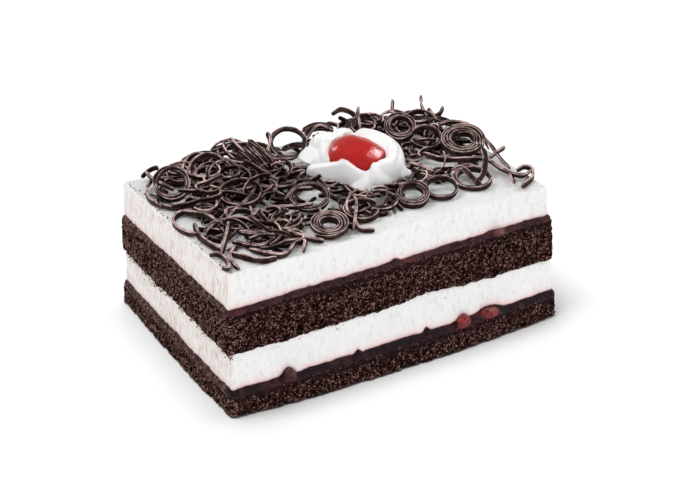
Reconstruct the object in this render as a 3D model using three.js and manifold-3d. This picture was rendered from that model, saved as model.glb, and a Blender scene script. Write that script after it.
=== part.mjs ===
// A slice of black forest cake: two chocolate sponges, two cherry fillings and two layers of cream,
// with a heap of chocolate shavings, a piped cream rosette and a cherry on top.
// Millimetres, +Z up, +X along the long side, +Y to the back, origin on the ground under the middle.
import * as THREE from "three";
import Module from "manifold-3d";

const wasm = await Module();
wasm.setup();

// ---- driving sizes ----

// Plan corners of the block in the order front left, front right, back right, back left.
const FOOT = [[-55.2, -37], [55.2, -36.5], [55.2, 36.5], [-55.2, 37]];
const RIM = [[-54.5, -35.3], [51.8, -33.2], [52.5, 34], [-54.6, 35.2]];
const FACE_STEPS = [21, 13, 21, 13];
const FACE_OUT = [[0, -1], [1, 0], [0, 1], [-1, 0]];
const FOOT_BOW = [2.4, 0.8, 1.2, 0.8];
const BOW_HEIGHT = 12;
const CORNER_CUT = 1.3;

// Heights of the layer lines at the same four corners, from the ground up.
const LINES = {
  ground: [0, 0, 0, 0],
  lowFillingFoot: [6.2, 6.6, 5.7, 5.5],
  lowFillingTop: [8.5, 8.9, 8.0, 7.8],
  middleCreamTop: [19.6, 19.3, 18.0, 18.1],
  highFillingFoot: [31.7, 32.5, 30.6, 28.9],
  highFillingTop: [33.3, 34.1, 32.2, 30.5],
  top: [44.2, 43.1, 42.0, 41.6],
};
// Local rises of a line on the front face: middle x, half width, height.
const RISES = {
  lowFillingTop: [[-37.5, 3, 2.2], [-14.7, 1.6, 1.2], [8.7, 1.6, 1.2], [31, 8, 1.6]],
  middleCreamTop: [[9, 14, 1.2]],
  highFillingTop: [[-0.8, 2.5, 0.7], [33, 3, 0.8]],
};
const LINE_WAVE = 0.25;
const GAP = 0.3;
const SPONGE_OUT = 0.6;
const CREAM_RECESS = 0.4;
const FILLING_RECESS = 0.25;
const RIM_ROUND = 0.8;
const SHORTEST = 0.3;

const ROSETTE_AT = [8.5, 2.5];
const ROSETTE_FOOT = 13.5;
const CHERRY_AT = [8.2, 3.6, 48.4];
const CHERRY_SIZE = [9.2, 9, 6.2];

// Each shaving is a ribbon: its band stands across the plane it curls in.
// Coils lean up along one plan direction.
const THICKNESS = 1.15;
const STRAND_BAND = 1.5;
const STEPS_PER_TURN = 10;
const STRAND_STEP = 4.6;
const REST = GAP + 0.25;
const SHORTEST_SHAVING = 0.35;
const LEAN_AXIS = [0.5, 0.866];

// ---- small helpers ----

const range = (count) => Array.from({ length: count }, (_, k) => k);
const lerp = (a, b, f) => a + (b - a) * f;
const clamp = (value, low, high) => Math.min(high, Math.max(low, value));
const polar = (angle, radius) => [radius * Math.cos(angle), radius * Math.sin(angle)];

function seededRandom(seed) {
  let state = seed >>> 0;
  return (low, high) => {
    state = (Math.imul(state, 1664525) + 1013904223) >>> 0;
    return lerp(low, high, state / 4294967296);
  };
}

// Uneven wave between -1 and 1 over two lengths in millimetres.
function wave(along, up, seed) {
  const slow = Math.sin(along * 0.47 + up * 0.61 + seed);
  const middle = Math.sin(along * 1.13 - up * 0.83 + seed * 2.3);
  const fast = Math.sin(along * 2.31 + up * 1.71 + seed * 4.1);
  return 0.4 * slow + 0.35 * middle + 0.25 * fast;
}

// Solid through closed rings of points. The ends are closed by fans, or the last ring meets the first.
function loft(rings, endless = false) {
  const sides = rings[0].length;
  const points = rings.flat();
  const faces = [];
  const spans = endless ? rings.length : rings.length - 1;
  for (const k of range(spans)) {
    const next = (k + 1) % rings.length;
    for (const i of range(sides)) {
      const j = (i + 1) % sides;
      faces.push([k * sides + i, k * sides + j, next * sides + j]);
      faces.push([k * sides + i, next * sides + j, next * sides + i]);
    }
  }
  if (!endless) {
    closeEnd(points, faces, rings[0], 0, true);
    closeEnd(points, faces, rings[rings.length - 1], (rings.length - 1) * sides, false);
  }
  return solidOf(points, faces);
}

function closeEnd(points, faces, ring, first, facingBack) {
  const total = ring.reduce((sum, point) => sum.add(point), new THREE.Vector3());
  points.push(total.divideScalar(ring.length));
  for (const i of range(ring.length)) {
    const j = (i + 1) % ring.length;
    const pair = facingBack ? [first + j, first + i] : [first + i, first + j];
    faces.push([points.length - 1, ...pair]);
  }
}

function signedVolume(points, faces) {
  const total = faces.reduce((sum, [a, b, c]) => (
    sum + points[a].dot(points[b].clone().cross(points[c]))
  ), 0);
  return total / 6;
}

function solidOf(points, faces) {
  const turned = signedVolume(points, faces) < 0 ? faces.map(([a, b, c]) => [a, c, b]) : faces;
  const vertProperties = new Float32Array(points.flatMap((point) => point.toArray()));
  const triVerts = new Uint32Array(turned.flat());
  return new wasm.Manifold(new wasm.Mesh({ numProp: 3, vertProperties, triVerts }));
}

// A three.js geometry with its shared vertices merged, as a solid.
function solidFromGeometry(geometry) {
  const position = geometry.getAttribute("position");
  const places = new Map();
  const points = [];
  const merged = range(position.count).map((k) => {
    const point = new THREE.Vector3().fromBufferAttribute(position, k);
    const key = point.toArray().map((value) => Math.round(value * 1e4)).join();
    if (!places.has(key)) {
      places.set(key, points.length);
      points.push(point);
    }
    return places.get(key);
  });
  const corners = geometry.index ? Array.from(geometry.index.array) : range(position.count);
  const faces = range(corners.length / 3).map((k) => [0, 1, 2].map((n) => merged[corners[3 * k + n]]));
  return solidOf(points, faces.filter(([a, b, c]) => a !== b && b !== c && c !== a));
}

// Points and faces of a solid.
function surfaceOf(solid) {
  const { vertProperties, triVerts, numProp } = solid.getMesh();
  const points = range(vertProperties.length / numProp).map((k) => (
    new THREE.Vector3().fromArray(vertProperties, k * numProp)
  ));
  const faces = range(triVerts.length / 3).map((k) => Array.from(triVerts.subarray(3 * k, 3 * k + 3)));
  return { points, faces };
}

// The largest closed shell of a surface: loose scraps go, and a hollow sealed inside is filled.
function largestShell({ points, faces }) {
  const parent = range(points.length);
  const rootOf = (k) => {
    let root = k;
    while (parent[root] !== root) root = parent[root];
    parent[k] = root;
    return root;
  };
  for (const [a, b, c] of faces) {
    parent[rootOf(a)] = rootOf(b);
    parent[rootOf(b)] = rootOf(c);
  }
  const shells = new Map();
  for (const face of faces) {
    const root = rootOf(face[0]);
    if (!shells.has(root)) shells.set(root, []);
    shells.get(root).push(face);
  }
  const kept = [...shells.values()].reduce((best, shell) => (
    signedVolume(points, shell) > signedVolume(points, best) ? shell : best
  ));
  return { points, faces: kept };
}

// Faces round each point, as lists of face numbers.
function facesRound(points, faces) {
  const round = points.map(() => new Set());
  faces.forEach((face, n) => face.forEach((k) => round[k].add(n)));
  return round;
}

const normalOf = (points, [a, b, c]) => (
  points[b].clone().sub(points[a]).cross(points[c].clone().sub(points[a]))
);

// Joins the two ends of each very short edge, where that leaves the surface closed and no face turned over.
function joinShortEdges({ points, faces }, shortest) {
  const around = facesRound(points, faces);
  const alive = faces.map((face) => [...face]);
  const neighbours = (k) => new Set([...around[k]].flatMap((n) => alive[n]));
  const joined = (from, to) => {
    const shared = [...neighbours(from)].filter((k) => k !== from && k !== to && neighbours(to).has(k));
    if (shared.length !== 2) return false;
    const moved = [...around[from]].filter((n) => !alive[n].includes(to));
    const turned = moved.some((n) => {
      const before = normalOf(points, alive[n]);
      const after = normalOf(points, alive[n].map((k) => (k === from ? to : k)));
      return after.lengthSq() < 1e-9 || before.normalize().dot(after.normalize()) < 0.2;
    });
    if (turned) return false;
    for (const n of [...around[from]]) {
      if (alive[n].includes(to)) {
        alive[n].forEach((k) => around[k].delete(n));
        alive[n] = null;
      } else {
        alive[n] = alive[n].map((k) => (k === from ? to : k));
        around[to].add(n);
      }
    }
    around[from].clear();
    return true;
  };
  for (const n of range(alive.length)) {
    for (const corner of range(3)) {
      if (!alive[n]) break;
      const from = alive[n][corner];
      const to = alive[n][(corner + 1) % 3];
      if (points[from].distanceTo(points[to]) < shortest && !joined(from, to)) joined(to, from);
    }
  }
  return { points, faces: alive.filter(Boolean) };
}

// A finished solid: one shell, without very short edges.
function finish(solid, shortest) {
  let surface = largestShell(surfaceOf(solid));
  for (let round = 0; round < 3; round += 1) surface = largestShell(joinShortEdges(surface, shortest));
  const used = [...new Set(surface.faces.flat())];
  const renumbered = new Map(used.map((old, k) => [old, k]));
  const points = used.map((k) => surface.points[k]);
  return solidOf(points, surface.faces.map((face) => face.map((k) => renumbered.get(k))));
}

// ---- the block: its outline and its layer lines ----

// A place on the outline is a face number and a share along that face.
const OUTLINE = FACE_STEPS.flatMap((steps, face) => {
  const next = (face + 1) % 4;
  const length = Math.hypot(FOOT[next][0] - FOOT[face][0], FOOT[next][1] - FOOT[face][1]);
  const cut = CORNER_CUT / length;
  const along = range(steps).map((k) => ({ face, share: lerp(cut, 1 - cut, k / (steps - 1)) }));
  return [...along, { face, share: 1, corner: true }];
});

const cornerMix = (values, face, share) => lerp(values[face], values[(face + 1) % 4], share);

function outlinePoint({ face, share, corner }, height, inset) {
  const f = height / cornerMix(LINES.top, face, share);
  const [x, y] = [0, 1].map((axis) => lerp(
    cornerMix(FOOT.map((point) => point[axis]), face, share),
    cornerMix(RIM.map((point) => point[axis]), face, share),
    f,
  ));
  const bow = FOOT_BOW[face] * 4 * share * (1 - share) * clamp(1 - height / BOW_HEIGHT, 0, 1);
  const out = bow - inset;
  if (corner) {
    const pull = 0.35 * CORNER_CUT + inset;
    return new THREE.Vector3(x - Math.sign(x) * pull, y - Math.sign(y) * pull, height);
  }
  return new THREE.Vector3(x + FACE_OUT[face][0] * out, y + FACE_OUT[face][1] * out, height);
}

function lineHeight(name, place) {
  const { face, share } = place;
  const level = cornerMix(LINES[name], face, share);
  if (name === "ground" || name === "top") return level;
  const x = cornerMix(FOOT.map((point) => point[0]), face, share);
  const along = 111 * face + 60 * share;
  const rises = face === 0 ? RISES[name.replace("FillingFoot", "FillingTop")] ?? [] : [];
  const rise = rises.reduce((sum, [at, half, size]) => {
    const near = clamp(1 - Math.abs(x - at) / half, 0, 1);
    return sum + size * near * near * (3 - 2 * near);
  }, 0);
  return level + rise * (name.endsWith("Foot") ? 0.3 : 1) + LINE_WAVE * wave(along, 0, name.length);
}

function layer({ from, to, rings, recess, relief, round = 0 }) {
  const heights = range(rings).map((k) => k / (rings - 1));
  const loops = heights.map((f) => OUTLINE.map((place) => {
    const low = lineHeight(from, place) + (from === "ground" ? 0 : GAP / 2);
    const high = lineHeight(to, place) - (to === "top" ? round : GAP / 2);
    const height = lerp(low, high, f);
    const along = 111 * place.face + 111 * place.share;
    const depth = recess + relief * (0.5 + 0.5 * wave(along * 1.7, height * 2.1, from.length));
    return outlinePoint(place, height, depth);
  }));
  if (round) {
    const rim = (below, inset) => OUTLINE.map((place) => (
      outlinePoint(place, lineHeight(to, place) - below * round, recess + inset * round)
    ));
    loops.push(rim(0.25, 0.4), rim(0, 1.3));
  }
  return loft(loops);
}

// Height of the cream's top, sloping evenly between the four corners.
function creamTop(x, y) {
  const u = clamp((x + 54.5) / 106.5, 0, 1);
  const v = clamp((y + 34.2) / 68.8, 0, 1);
  return lerp(lerp(LINES.top[0], LINES.top[1], u), lerp(LINES.top[3], LINES.top[2], u), v);
}

// ---- the cherry and the pieces of cherry in the fillings ----

function ellipsoid(at, size, across, down) {
  const geometry = new THREE.SphereGeometry(1, across, down);
  geometry.rotateX(Math.PI / 2);
  geometry.scale(...size);
  geometry.translate(...at);
  return solidFromGeometry(geometry);
}

function cherry(grow = 0) {
  const geometry = new THREE.SphereGeometry(1, 18, 10);
  geometry.rotateX(Math.PI / 2);
  geometry.scale(...CHERRY_SIZE.map((size) => size + grow));
  const position = geometry.getAttribute("position");
  const flat = 3.2 + grow;
  for (const k of range(position.count)) position.setZ(k, Math.max(position.getZ(k), -flat));
  geometry.translate(...CHERRY_AT);
  return solidFromGeometry(geometry);
}

// Pieces of cherry at the front cut: middle, half sizes.
const CHERRY_PIECES = {
  cherry_piece_left: [[20.6, -36.9, 8.4], [2.5, 2.0, 1.9]],
  cherry_piece_right: [[30.4, -36.8, 8.6], [2.7, 2.0, 1.8]],
  cherry_piece_far_left: [[-37, -37.1, 9.6], [1.6, 1.6, 1.1]],
  cherry_piece_upper: [[33, -35.0, 33.7], [2.1, 1.6, 0.9]],
};

// ---- the piped rosette ----

// Petals: angle of the tip in degrees, reach, height of the tip and of the crest over the cream, half width.
const PETALS = [
  [142, 18, 4.6, 8.2, 4.4],
  [177, 17.6, 3.8, 7.4, 4.8],
  [205, 14.6, 2.6, 7.2, 3.8],
  [237, 17.2, 1.7, 7.2, 4.9],
  [275, 14.2, 2.0, 7.0, 4.6],
  [313, 16, 1.9, 7.4, 4.9],
  [349, 15.2, 3.4, 8.4, 5.0],
  [24, 15.8, 4.6, 9.0, 5.0],
  [56, 16, 5.4, 9.2, 4.8],
  [88, 15.4, 5.6, 9.0, 4.5],
  [116, 15.8, 5.2, 8.8, 4.5],
];
const PETAL_ROOT = 8.4;
const PETAL_SWIRL = 16;
const PETAL_DEPTH = 3;

function petal([degrees, reach, tipHeight, crestHeight, halfWidth], floor, grow) {
  const steps = 5;
  const sides = 7;
  const rings = range(steps + 1).map((k) => {
    const f = k / steps;
    const angle = THREE.MathUtils.degToRad(degrees - PETAL_SWIRL * (1 - f) ** 2);
    const radius = lerp(PETAL_ROOT, reach - 0.6, f);
    const taper = Math.sqrt(clamp(1 - f ** 3.2, 0.06, 1));
    const middle = lerp(crestHeight, tipHeight, f ** 1.7) - PETAL_DEPTH * taper * 0.8;
    const width = halfWidth * taper * lerp(0.75, 1, Math.sin(Math.PI * f)) + grow;
    const depth = PETAL_DEPTH * taper + grow;
    const [cx, cy] = polar(angle, radius + (f === 1 ? grow : 0));
    return range(sides).map((n) => {
      const turn = (2 * Math.PI * n) / sides;
      const aside = width * Math.cos(turn);
      const x = ROSETTE_AT[0] + cx - Math.sin(angle) * aside;
      const y = ROSETTE_AT[1] + cy + Math.cos(angle) * aside;
      return new THREE.Vector3(x, y, Math.max(floor, floor + middle + depth * Math.sin(turn)));
    });
  });
  return loft(rings);
}

function rosette(grow = 0) {
  const floor = creamTop(...ROSETTE_AT) + GAP + 0.35 - grow;
  const profile = [[0, ROSETTE_FOOT], [1.6, ROSETTE_FOOT + 0.6], [4.2, ROSETTE_FOOT - 2]];
  const foot = profile.map(([height, radius]) => (
    range(22).map((k) => {
      const [x, y] = polar((2 * Math.PI * k) / 22, radius + grow);
      return new THREE.Vector3(ROSETTE_AT[0] + x, ROSETTE_AT[1] + y, floor + height);
    })
  ));
  return PETALS.reduce((whole, row) => whole.add(petal(row, floor, grow)), loft(foot));
}

// ---- the heap of shavings ----

// The bed: the close-packed lowest shavings, as one thin bumpy ring round the rosette.
const BED_CLEAR = ROSETTE_FOOT + 1.4;
const BED_PLACES = 38;
const BED_REACH = { left: -49.5, right: 47, front: -28, back: 29.5 };

function bedThickness(x, y, inset) {
  const full = 1.35 + 0.75 * wave(x * 1.9, y * 1.7, 3.3);
  return lerp(0.7, full, clamp(inset / 6, 0, 1));
}

function bed() {
  const rings = range(BED_PLACES).map((k) => {
    const angle = (2 * Math.PI * (k + 0.25)) / BED_PLACES;
    const [dx, dy] = polar(angle, 1);
    const reachX = ((dx > 0 ? BED_REACH.right : BED_REACH.left) - ROSETTE_AT[0]) / dx;
    const reachY = ((dy > 0 ? BED_REACH.back : BED_REACH.front) - ROSETTE_AT[1]) / dy;
    const outer = Math.min(reachX, reachY) + 2.8 * wave(k * 5.3, 0, 1.7);
    const at = (f, level) => {
      const radius = lerp(BED_CLEAR, outer, f);
      const x = ROSETTE_AT[0] + dx * radius;
      const y = ROSETTE_AT[1] + dy * radius;
      const foot = creamTop(x, y) + GAP + 0.15;
      return new THREE.Vector3(x, y, foot + level * bedThickness(x, y, outer - radius));
    };
    return [at(0, 0), at(1, 0), at(1, 1), at(0.8, 1), at(0.58, 1), at(0.33, 1), at(0, 1)];
  });
  return loft(rings, true);
}

// Coils: middle x, y and height over the cream, outer and inner radius, turns,
// start and lean in degrees, band.
const COILS = [
  [-18.8, -26.8, 1.8, 5.4, 2.2, 2.6, 200, 5, 2.2],
  [11.5, -22.2, 1.7, 4.9, 2.9, 1.9, 150, 4, 2.0],
  [21.6, -21.4, 1.5, 4.9, 4.5, 1.1, 80, 3, 1.6],
  [33.6, -20.4, 1.4, 5.5, 5.0, 1.1, 100, 3, 1.6],
  [-15.2, -8.9, 2.6, 6.3, 5.0, 1.9, 210, 4, 1.6],
  [-46.8, 15.2, 4.8, 5.4, 4.4, 2.0, 20, 36, 1.5],
  [-31.4, 1.9, 3.8, 5.8, 5.4, 1.0, 330, 12, 1.6],
  [-38.6, -11.0, 2.2, 5.0, 4.5, 0.9, 20, 6, 1.6],
  [-26.5, -17.0, 1.9, 4.6, 3.8, 1.1, 60, 6, 1.6],
  [-14.3, 11.1, 3.6, 4.4, 4.0, 0.7, 200, 8, 1.8],
  [31.3, 16.4, 4.4, 5.0, 2.2, 2.3, 40, 14, 1.7],
  [42.1, -1.9, 4.5, 6.7, 3.9, 2.1, 300, 5, 1.8],
  [35.2, 8.0, 3.4, 4.8, 4.4, 0.85, 170, 8, 1.7],
  [40.0, 18.4, 3.8, 4.8, 4.4, 0.8, 330, 12, 1.7],
  [-4.2, 23.8, 4.7, 5.5, 5.2, 1.05, 250, 34, 1.5],
  [-5.6, -22.4, 1.9, 5.2, 4.5, 0.9, 10, 6, 1.7],
  [2.4, -19.6, 1.6, 4.6, 4.1, 1.0, 190, 4, 1.6],
  [-32.0, 17.6, 3.4, 5.6, 5.0, 0.8, 60, 10, 1.6],
  [-23.0, 8.4, 2.8, 5.2, 4.4, 1.0, 240, 8, 1.6],
  [-39.6, 24.6, 3.0, 4.6, 3.8, 0.9, 300, 8, 1.6],
  [23.6, 25.4, 3.6, 4.6, 3.8, 1.0, 30, 14, 1.6],
  [42.6, 9.6, 2.2, 4.6, 4.0, 0.9, 110, 4, 1.6],
];

// Strands: places from end to end, each x, y and height over the cream.
const STRANDS = [
  [[-50.8, -23, 1.2], [-51.4, -27.2, 1.0], [-52.4, -31.8, 0.9], [-54.6, -32.8, 0.9]],
  [[-45.4, -23.4, 1.4], [-48.6, -27, 0.9], [-50.2, -34.6, 0.9]],
  [[-48.6, -26.4, 1.1], [-44, -33.6, 0.9], [-39.4, -34.8, 0.9]],
  [[-49.6, -10.6, 1.4], [-54.4, -8.4, 1.0], [-53.6, 0.6, 1.0], [-48.4, 3.8, 1.4]],
  [[-48.8, 3.6, 1.4], [-44.8, -4.6, 2.4], [-45.2, -15, 2.0]],
  [[-49.6, -5, 1.4], [-51.6, -14, 1.2], [-50.2, -24.4, 1.2]],
  [[-51, -25.6, 1.6], [-43, -13.8, 3.2], [-40, -6.4, 3.4], [-36.2, -4.7, 3.0]],
  [[-43.6, 30.4, 2.4], [-50, 25.4, 1.6], [-53.2, 16.4, 1.1], [-50, 7.6, 1.4], [-44.6, 3.6, 2.4]],
  [[-41.9, -17.8, 2.2], [-33.7, -22.8, 2.0]],
  [[-45.5, -20.6, 1.4], [-40.1, -26.6, 1.3], [-33.1, -24, 1.6]],
  [[-43.4, -27, 1.2], [-37.3, -34, 1.0], [-30.8, -29.6, 1.3]],
  [[-34.6, -28.2, 1.6], [-28.4, -29.6, 1.2], [-31.2, -34.6, 0.9]],
  [[-29.8, -23, 1.6], [-26.3, -29.6, 1.2], [-23.6, -32.4, 1.1]],
  [[36.4, -10.4, 3.2], [35, -17.4, 3.0], [31.4, -26.6, 2.2]],
  [[32.6, -26.4, 2.4], [40.2, -17.1, 2.8], [45, -9.4, 3.2]],
  [[44.8, -12.1, 2.2], [49.4, -9.2, 2.0], [52.4, -8.2, 2.4]],
  [[45.1, -11.7, 1.6], [45.6, -17.6, 1.2], [48.4, -25, 1.0], [52.8, -25, 1.4]],
  [[50.4, -20.2, 1.6], [52.4, -22, 1.4], [50, -27, 1.0], [43.2, -30.4, 0.9]],
  [[46.8, -18.4, 1.8], [45.7, -23, 1.2], [43, -27.6, 0.9]],
  [[40.6, 10.4, 4.4], [46.6, 10.8, 4.6], [49.8, 2, 4.4], [46.5, -8.6, 3.4]],
  [[29.4, -0.1, 3.0], [31.9, -6.4, 3.0], [41, -12.4, 3.2]],
  [[21.5, -10.6, 2.0], [24, -14.6, 1.8], [28.6, -15.2, 1.6]],
  [[8.4, -12.8, 1.4], [15.4, -13.4, 1.8], [20.4, -15.4, 1.8]],
  [[-3.4, -12.8, 2.6], [-6.4, -20.6, 3.2], [-13.4, -31.2, 1.6]],
  [[-10, -26.1, 1.2], [-11.2, -31, 1.0], [-8, -33.4, 0.9]],
  [[-33.3, -12, 2.8], [-28, -9, 3.0], [-24.1, -13.2, 2.6]],
  [[-32.4, -5.2, 2.4], [-35.7, -14.9, 2.0]],
  [[-8, 2.2, 2.0], [-15.4, 3.4, 2.6], [-23, 0.6, 2.4]],
  [[-20.4, 30.2, 8.2], [-20, 27, 6.6], [-18.6, 23.4, 4.6]],
  [[-9.4, 27.6, 8.4], [-9.8, 25, 6.8], [-13.8, 20.4, 4]],
  [[45.4, 26.6, 9], [43.8, 23.7, 7], [43, 16.4, 2]],
  [[37.8, 31.4, 7.6], [35.4, 27.6, 5.4], [33.4, 20.8, 5.2]],
  [[50, 20.4, 6], [48.2, 20.4, 4], [44.4, 19.8, 3.4]],
  [[15.8, 32, 7.4], [19.6, 32.4, 8], [22.6, 29.8, 6.4], [21.4, 25, 4]],
  [[24.6, 30.8, 8.2], [22.4, 27, 6], [20.4, 22, 2]],
  [[-49.6, 27.6, 5], [-48.4, 23.6, 3.4], [-44.6, 19, 1.4]],
  [[2.6, 26.6, 2], [9.6, 29.4, 5.8], [15.6, 24.8, 2]],
  [[-41, 16, 2], [-36, 24.8, 5.4], [-28.4, 26.8, 5.8], [-23.6, 19, 2]],
  [[-39.4, 27.4, 2.4], [-32, 30.4, 5.4], [-24, 25, 2.4]],
  [[-24, 23.6, 2], [-18, 25.4, 6], [-12.2, 18, 2]],
  [[-24.8, 20.6, 2], [-19, 21.8, 5.6], [-14, 14.8, 2]],
  [[-26, 17, 1.8], [-20.4, 18, 4.8], [-16.2, 11.6, 1.8]],
];

// Short leaning arcs that fill the middle of the heap under the pieces above, each from a seeded draw.
const ARCS = 20;
const ARC_FIELD = { left: -47, right: 46, front: -25, back: 27 };

function scatteredArcs() {
  const random = seededRandom(11);
  const rows = [];
  while (rows.length < ARCS) {
    const x = random(ARC_FIELD.left, ARC_FIELD.right);
    const y = random(ARC_FIELD.front, ARC_FIELD.back);
    const radius = random(3.6, 5.6);
    const edge = Math.min(x - ARC_FIELD.left, ARC_FIELD.right - x, y - ARC_FIELD.front, ARC_FIELD.back - y);
    const height = 1.5 + Math.min(edge, 9) * random(0.05, 0.2);
    const inner = radius * random(0.7, 1);
    const row = [x, y, height, radius, inner, random(0.35, 0.75), random(0, 360), random(4, 22), 1.6];
    const apart = Math.hypot(x - ROSETTE_AT[0], y - ROSETTE_AT[1]) > BED_CLEAR + radius * 0.6;
    const spread = rows.every((other) => Math.hypot(other[0] - x, other[1] - y) > 8);
    if (apart && spread) rows.push(row);
  }
  return rows;
}

function coilPath([x, y, height, radius, inner, turns, start, lean, band]) {
  const steps = Math.max(4, Math.round(turns * STEPS_PER_TURN));
  const slope = Math.tan(THREE.MathUtils.degToRad(lean));
  const middle = creamTop(x, y) + Math.max(height, slope * radius + band / 2 + REST);
  return range(steps + 1).map((k) => {
    const f = k / steps;
    const [dx, dy] = polar(THREE.MathUtils.degToRad(start) + 2 * Math.PI * turns * f, lerp(radius, inner, f));
    const rise = slope * (dx * LEAN_AXIS[0] + dy * LEAN_AXIS[1]);
    const lowest = creamTop(x + dx, y + dy) + band / 2 + REST;
    return new THREE.Vector3(x + dx, y + dy, Math.max(middle + rise, lowest));
  });
}

function strandPath(places) {
  const lowest = STRAND_BAND / 2 + REST;
  const points = places.map(([x, y, z]) => new THREE.Vector3(x, y, creamTop(x, y) + Math.max(z, lowest)));
  const curve = new THREE.CatmullRomCurve3(points);
  return curve.getPoints(Math.max(2, Math.ceil(curve.getLength() / STRAND_STEP)));
}

function coilNormal(lean) {
  const slope = Math.tan(THREE.MathUtils.degToRad(lean));
  return new THREE.Vector3(-slope * LEAN_AXIS[0], -slope * LEAN_AXIS[1], 1).normalize();
}

// The longest stretch of a path that stays clear of the rosette.
function clearStretch(path) {
  const runs = [[]];
  for (const point of path) {
    const clear = Math.hypot(point.x - ROSETTE_AT[0], point.y - ROSETTE_AT[1]) > BED_CLEAR;
    if (clear) runs[runs.length - 1].push(point);
    else runs.push([]);
  }
  return runs.reduce((best, run) => (run.length > best.length ? run : best));
}

// A band that stands across the plane of its path, with its ends a little narrower.
function ribbon(points, normal, band) {
  const last = points.length - 1;
  const rings = points.map((point, k) => {
    const along = points[Math.min(k + 1, last)].clone().sub(points[Math.max(k - 1, 0)]).normalize();
    const side = normal.clone().cross(along).normalize().multiplyScalar(THICKNESS / 2);
    const up = along.clone().cross(side).normalize().multiplyScalar(band / 2);
    const taper = k === 0 || k === last ? 0.75 : 1;
    return [[1, 1], [-1, 1], [-1, -1], [1, -1]].map(([s, u]) => (
      point.clone().addScaledVector(side, s * taper).addScaledVector(up, u * taper)
    ));
  });
  return loft(rings);
}

function heap() {
  const upright = new THREE.Vector3(0, 0, 1);
  const shavings = [
    ...[...scatteredArcs(), ...COILS].map((row) => [coilPath(row), coilNormal(row[7]), row[8]]),
    ...STRANDS.map((row) => [strandPath(row), upright, STRAND_BAND]),
  ];
  let whole = bed();
  for (const [path, normal, band] of shavings) {
    const clear = clearStretch(path);
    if (clear.length > 2) whole = whole.add(ribbon(clear, normal, band));
  }
  return finish(whole.subtract(rosette(GAP + 0.1)).subtract(cherry(GAP + 0.1)), SHORTEST_SHAVING);
}

// ---- colours and the finished group ----

const MATERIALS = {
  sponge: new THREE.MeshStandardMaterial({ color: 0x2e1d17, roughness: 0.95, metalness: 0 }),
  filling: new THREE.MeshStandardMaterial({ color: 0x2a0f12, roughness: 0.35, metalness: 0 }),
  cream: new THREE.MeshStandardMaterial({ color: 0xf1efee, roughness: 0.6, metalness: 0 }),
  chocolate: new THREE.MeshStandardMaterial({ color: 0x2b1a17, roughness: 0.45, metalness: 0 }),
  cherry: new THREE.MeshStandardMaterial({ color: 0xb41f1c, roughness: 0.15, metalness: 0 }),
  cherryPiece: new THREE.MeshStandardMaterial({ color: 0x6e161c, roughness: 0.25, metalness: 0 }),
};

function meshOf(name, solid, material) {
  const { vertProperties, triVerts } = solid.getMesh();
  const geometry = new THREE.BufferGeometry();
  geometry.setAttribute("position", new THREE.BufferAttribute(new Float32Array(vertProperties), 3));
  geometry.setIndex(Array.from(triVerts));
  geometry.computeVertexNormals();
  const mesh = new THREE.Mesh(geometry, material);
  mesh.name = name;
  return mesh;
}

// The layers from the ground up. Sponge stands out a little, and cream and filling lie back.
const SPONGE = { recess: -SPONGE_OUT, relief: 0.8 };
const FILLING = { rings: 2, recess: FILLING_RECESS, relief: 0.5 };
const CREAM = { recess: CREAM_RECESS, relief: 0.4 };
const LAYERS = {
  sponge_bottom: { ...SPONGE, from: "ground", to: "lowFillingFoot", rings: 3 },
  filling_bottom: { ...FILLING, from: "lowFillingFoot", to: "lowFillingTop" },
  cream_middle: { ...CREAM, from: "lowFillingTop", to: "middleCreamTop", rings: 3 },
  sponge_top: { ...SPONGE, from: "middleCreamTop", to: "highFillingFoot", rings: 4 },
  filling_top: { ...FILLING, from: "highFillingFoot", to: "highFillingTop" },
  cream_top: { ...CREAM, from: "highFillingTop", to: "top", rings: 2, round: RIM_ROUND },
};

const cake = {};
for (const [name, sizes] of Object.entries(LAYERS)) cake[name] = [layer(sizes), name.split("_")[0]];
for (const [name, [at, size]] of Object.entries(CHERRY_PIECES)) {
  const pocket = ellipsoid(at, size.map((half) => half + GAP), 10, 6);
  for (const key of Object.keys(cake)) cake[key][0] = cake[key][0].subtract(pocket);
  cake[name] = [ellipsoid(at, size, 10, 6), "cherryPiece"];
}
cake.rosette = [finish(rosette().subtract(cherry(GAP)), SHORTEST), "cream"];
cake.cherry = [cherry(), "cherry"];
cake.shavings = [heap(), "chocolate"];

const group = new THREE.Group();
for (const [name, [solid, material]] of Object.entries(cake)) {
  group.add(meshOf(name, solid, MATERIALS[material]));
}
const box = new THREE.Box3().setFromObject(group);
const middle = box.getCenter(new THREE.Vector3());
group.children.forEach((mesh) => mesh.geometry.translate(-middle.x, -middle.y, -box.min.z));

export default group;
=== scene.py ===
"""The looks of a slice of black forest cake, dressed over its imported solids.

Lengths are in millimetres until a mesh is made; the frame itself is in metres.
"""
import math
import random

import bpy
import numpy as np
from mathutils import Matrix, Vector


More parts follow.
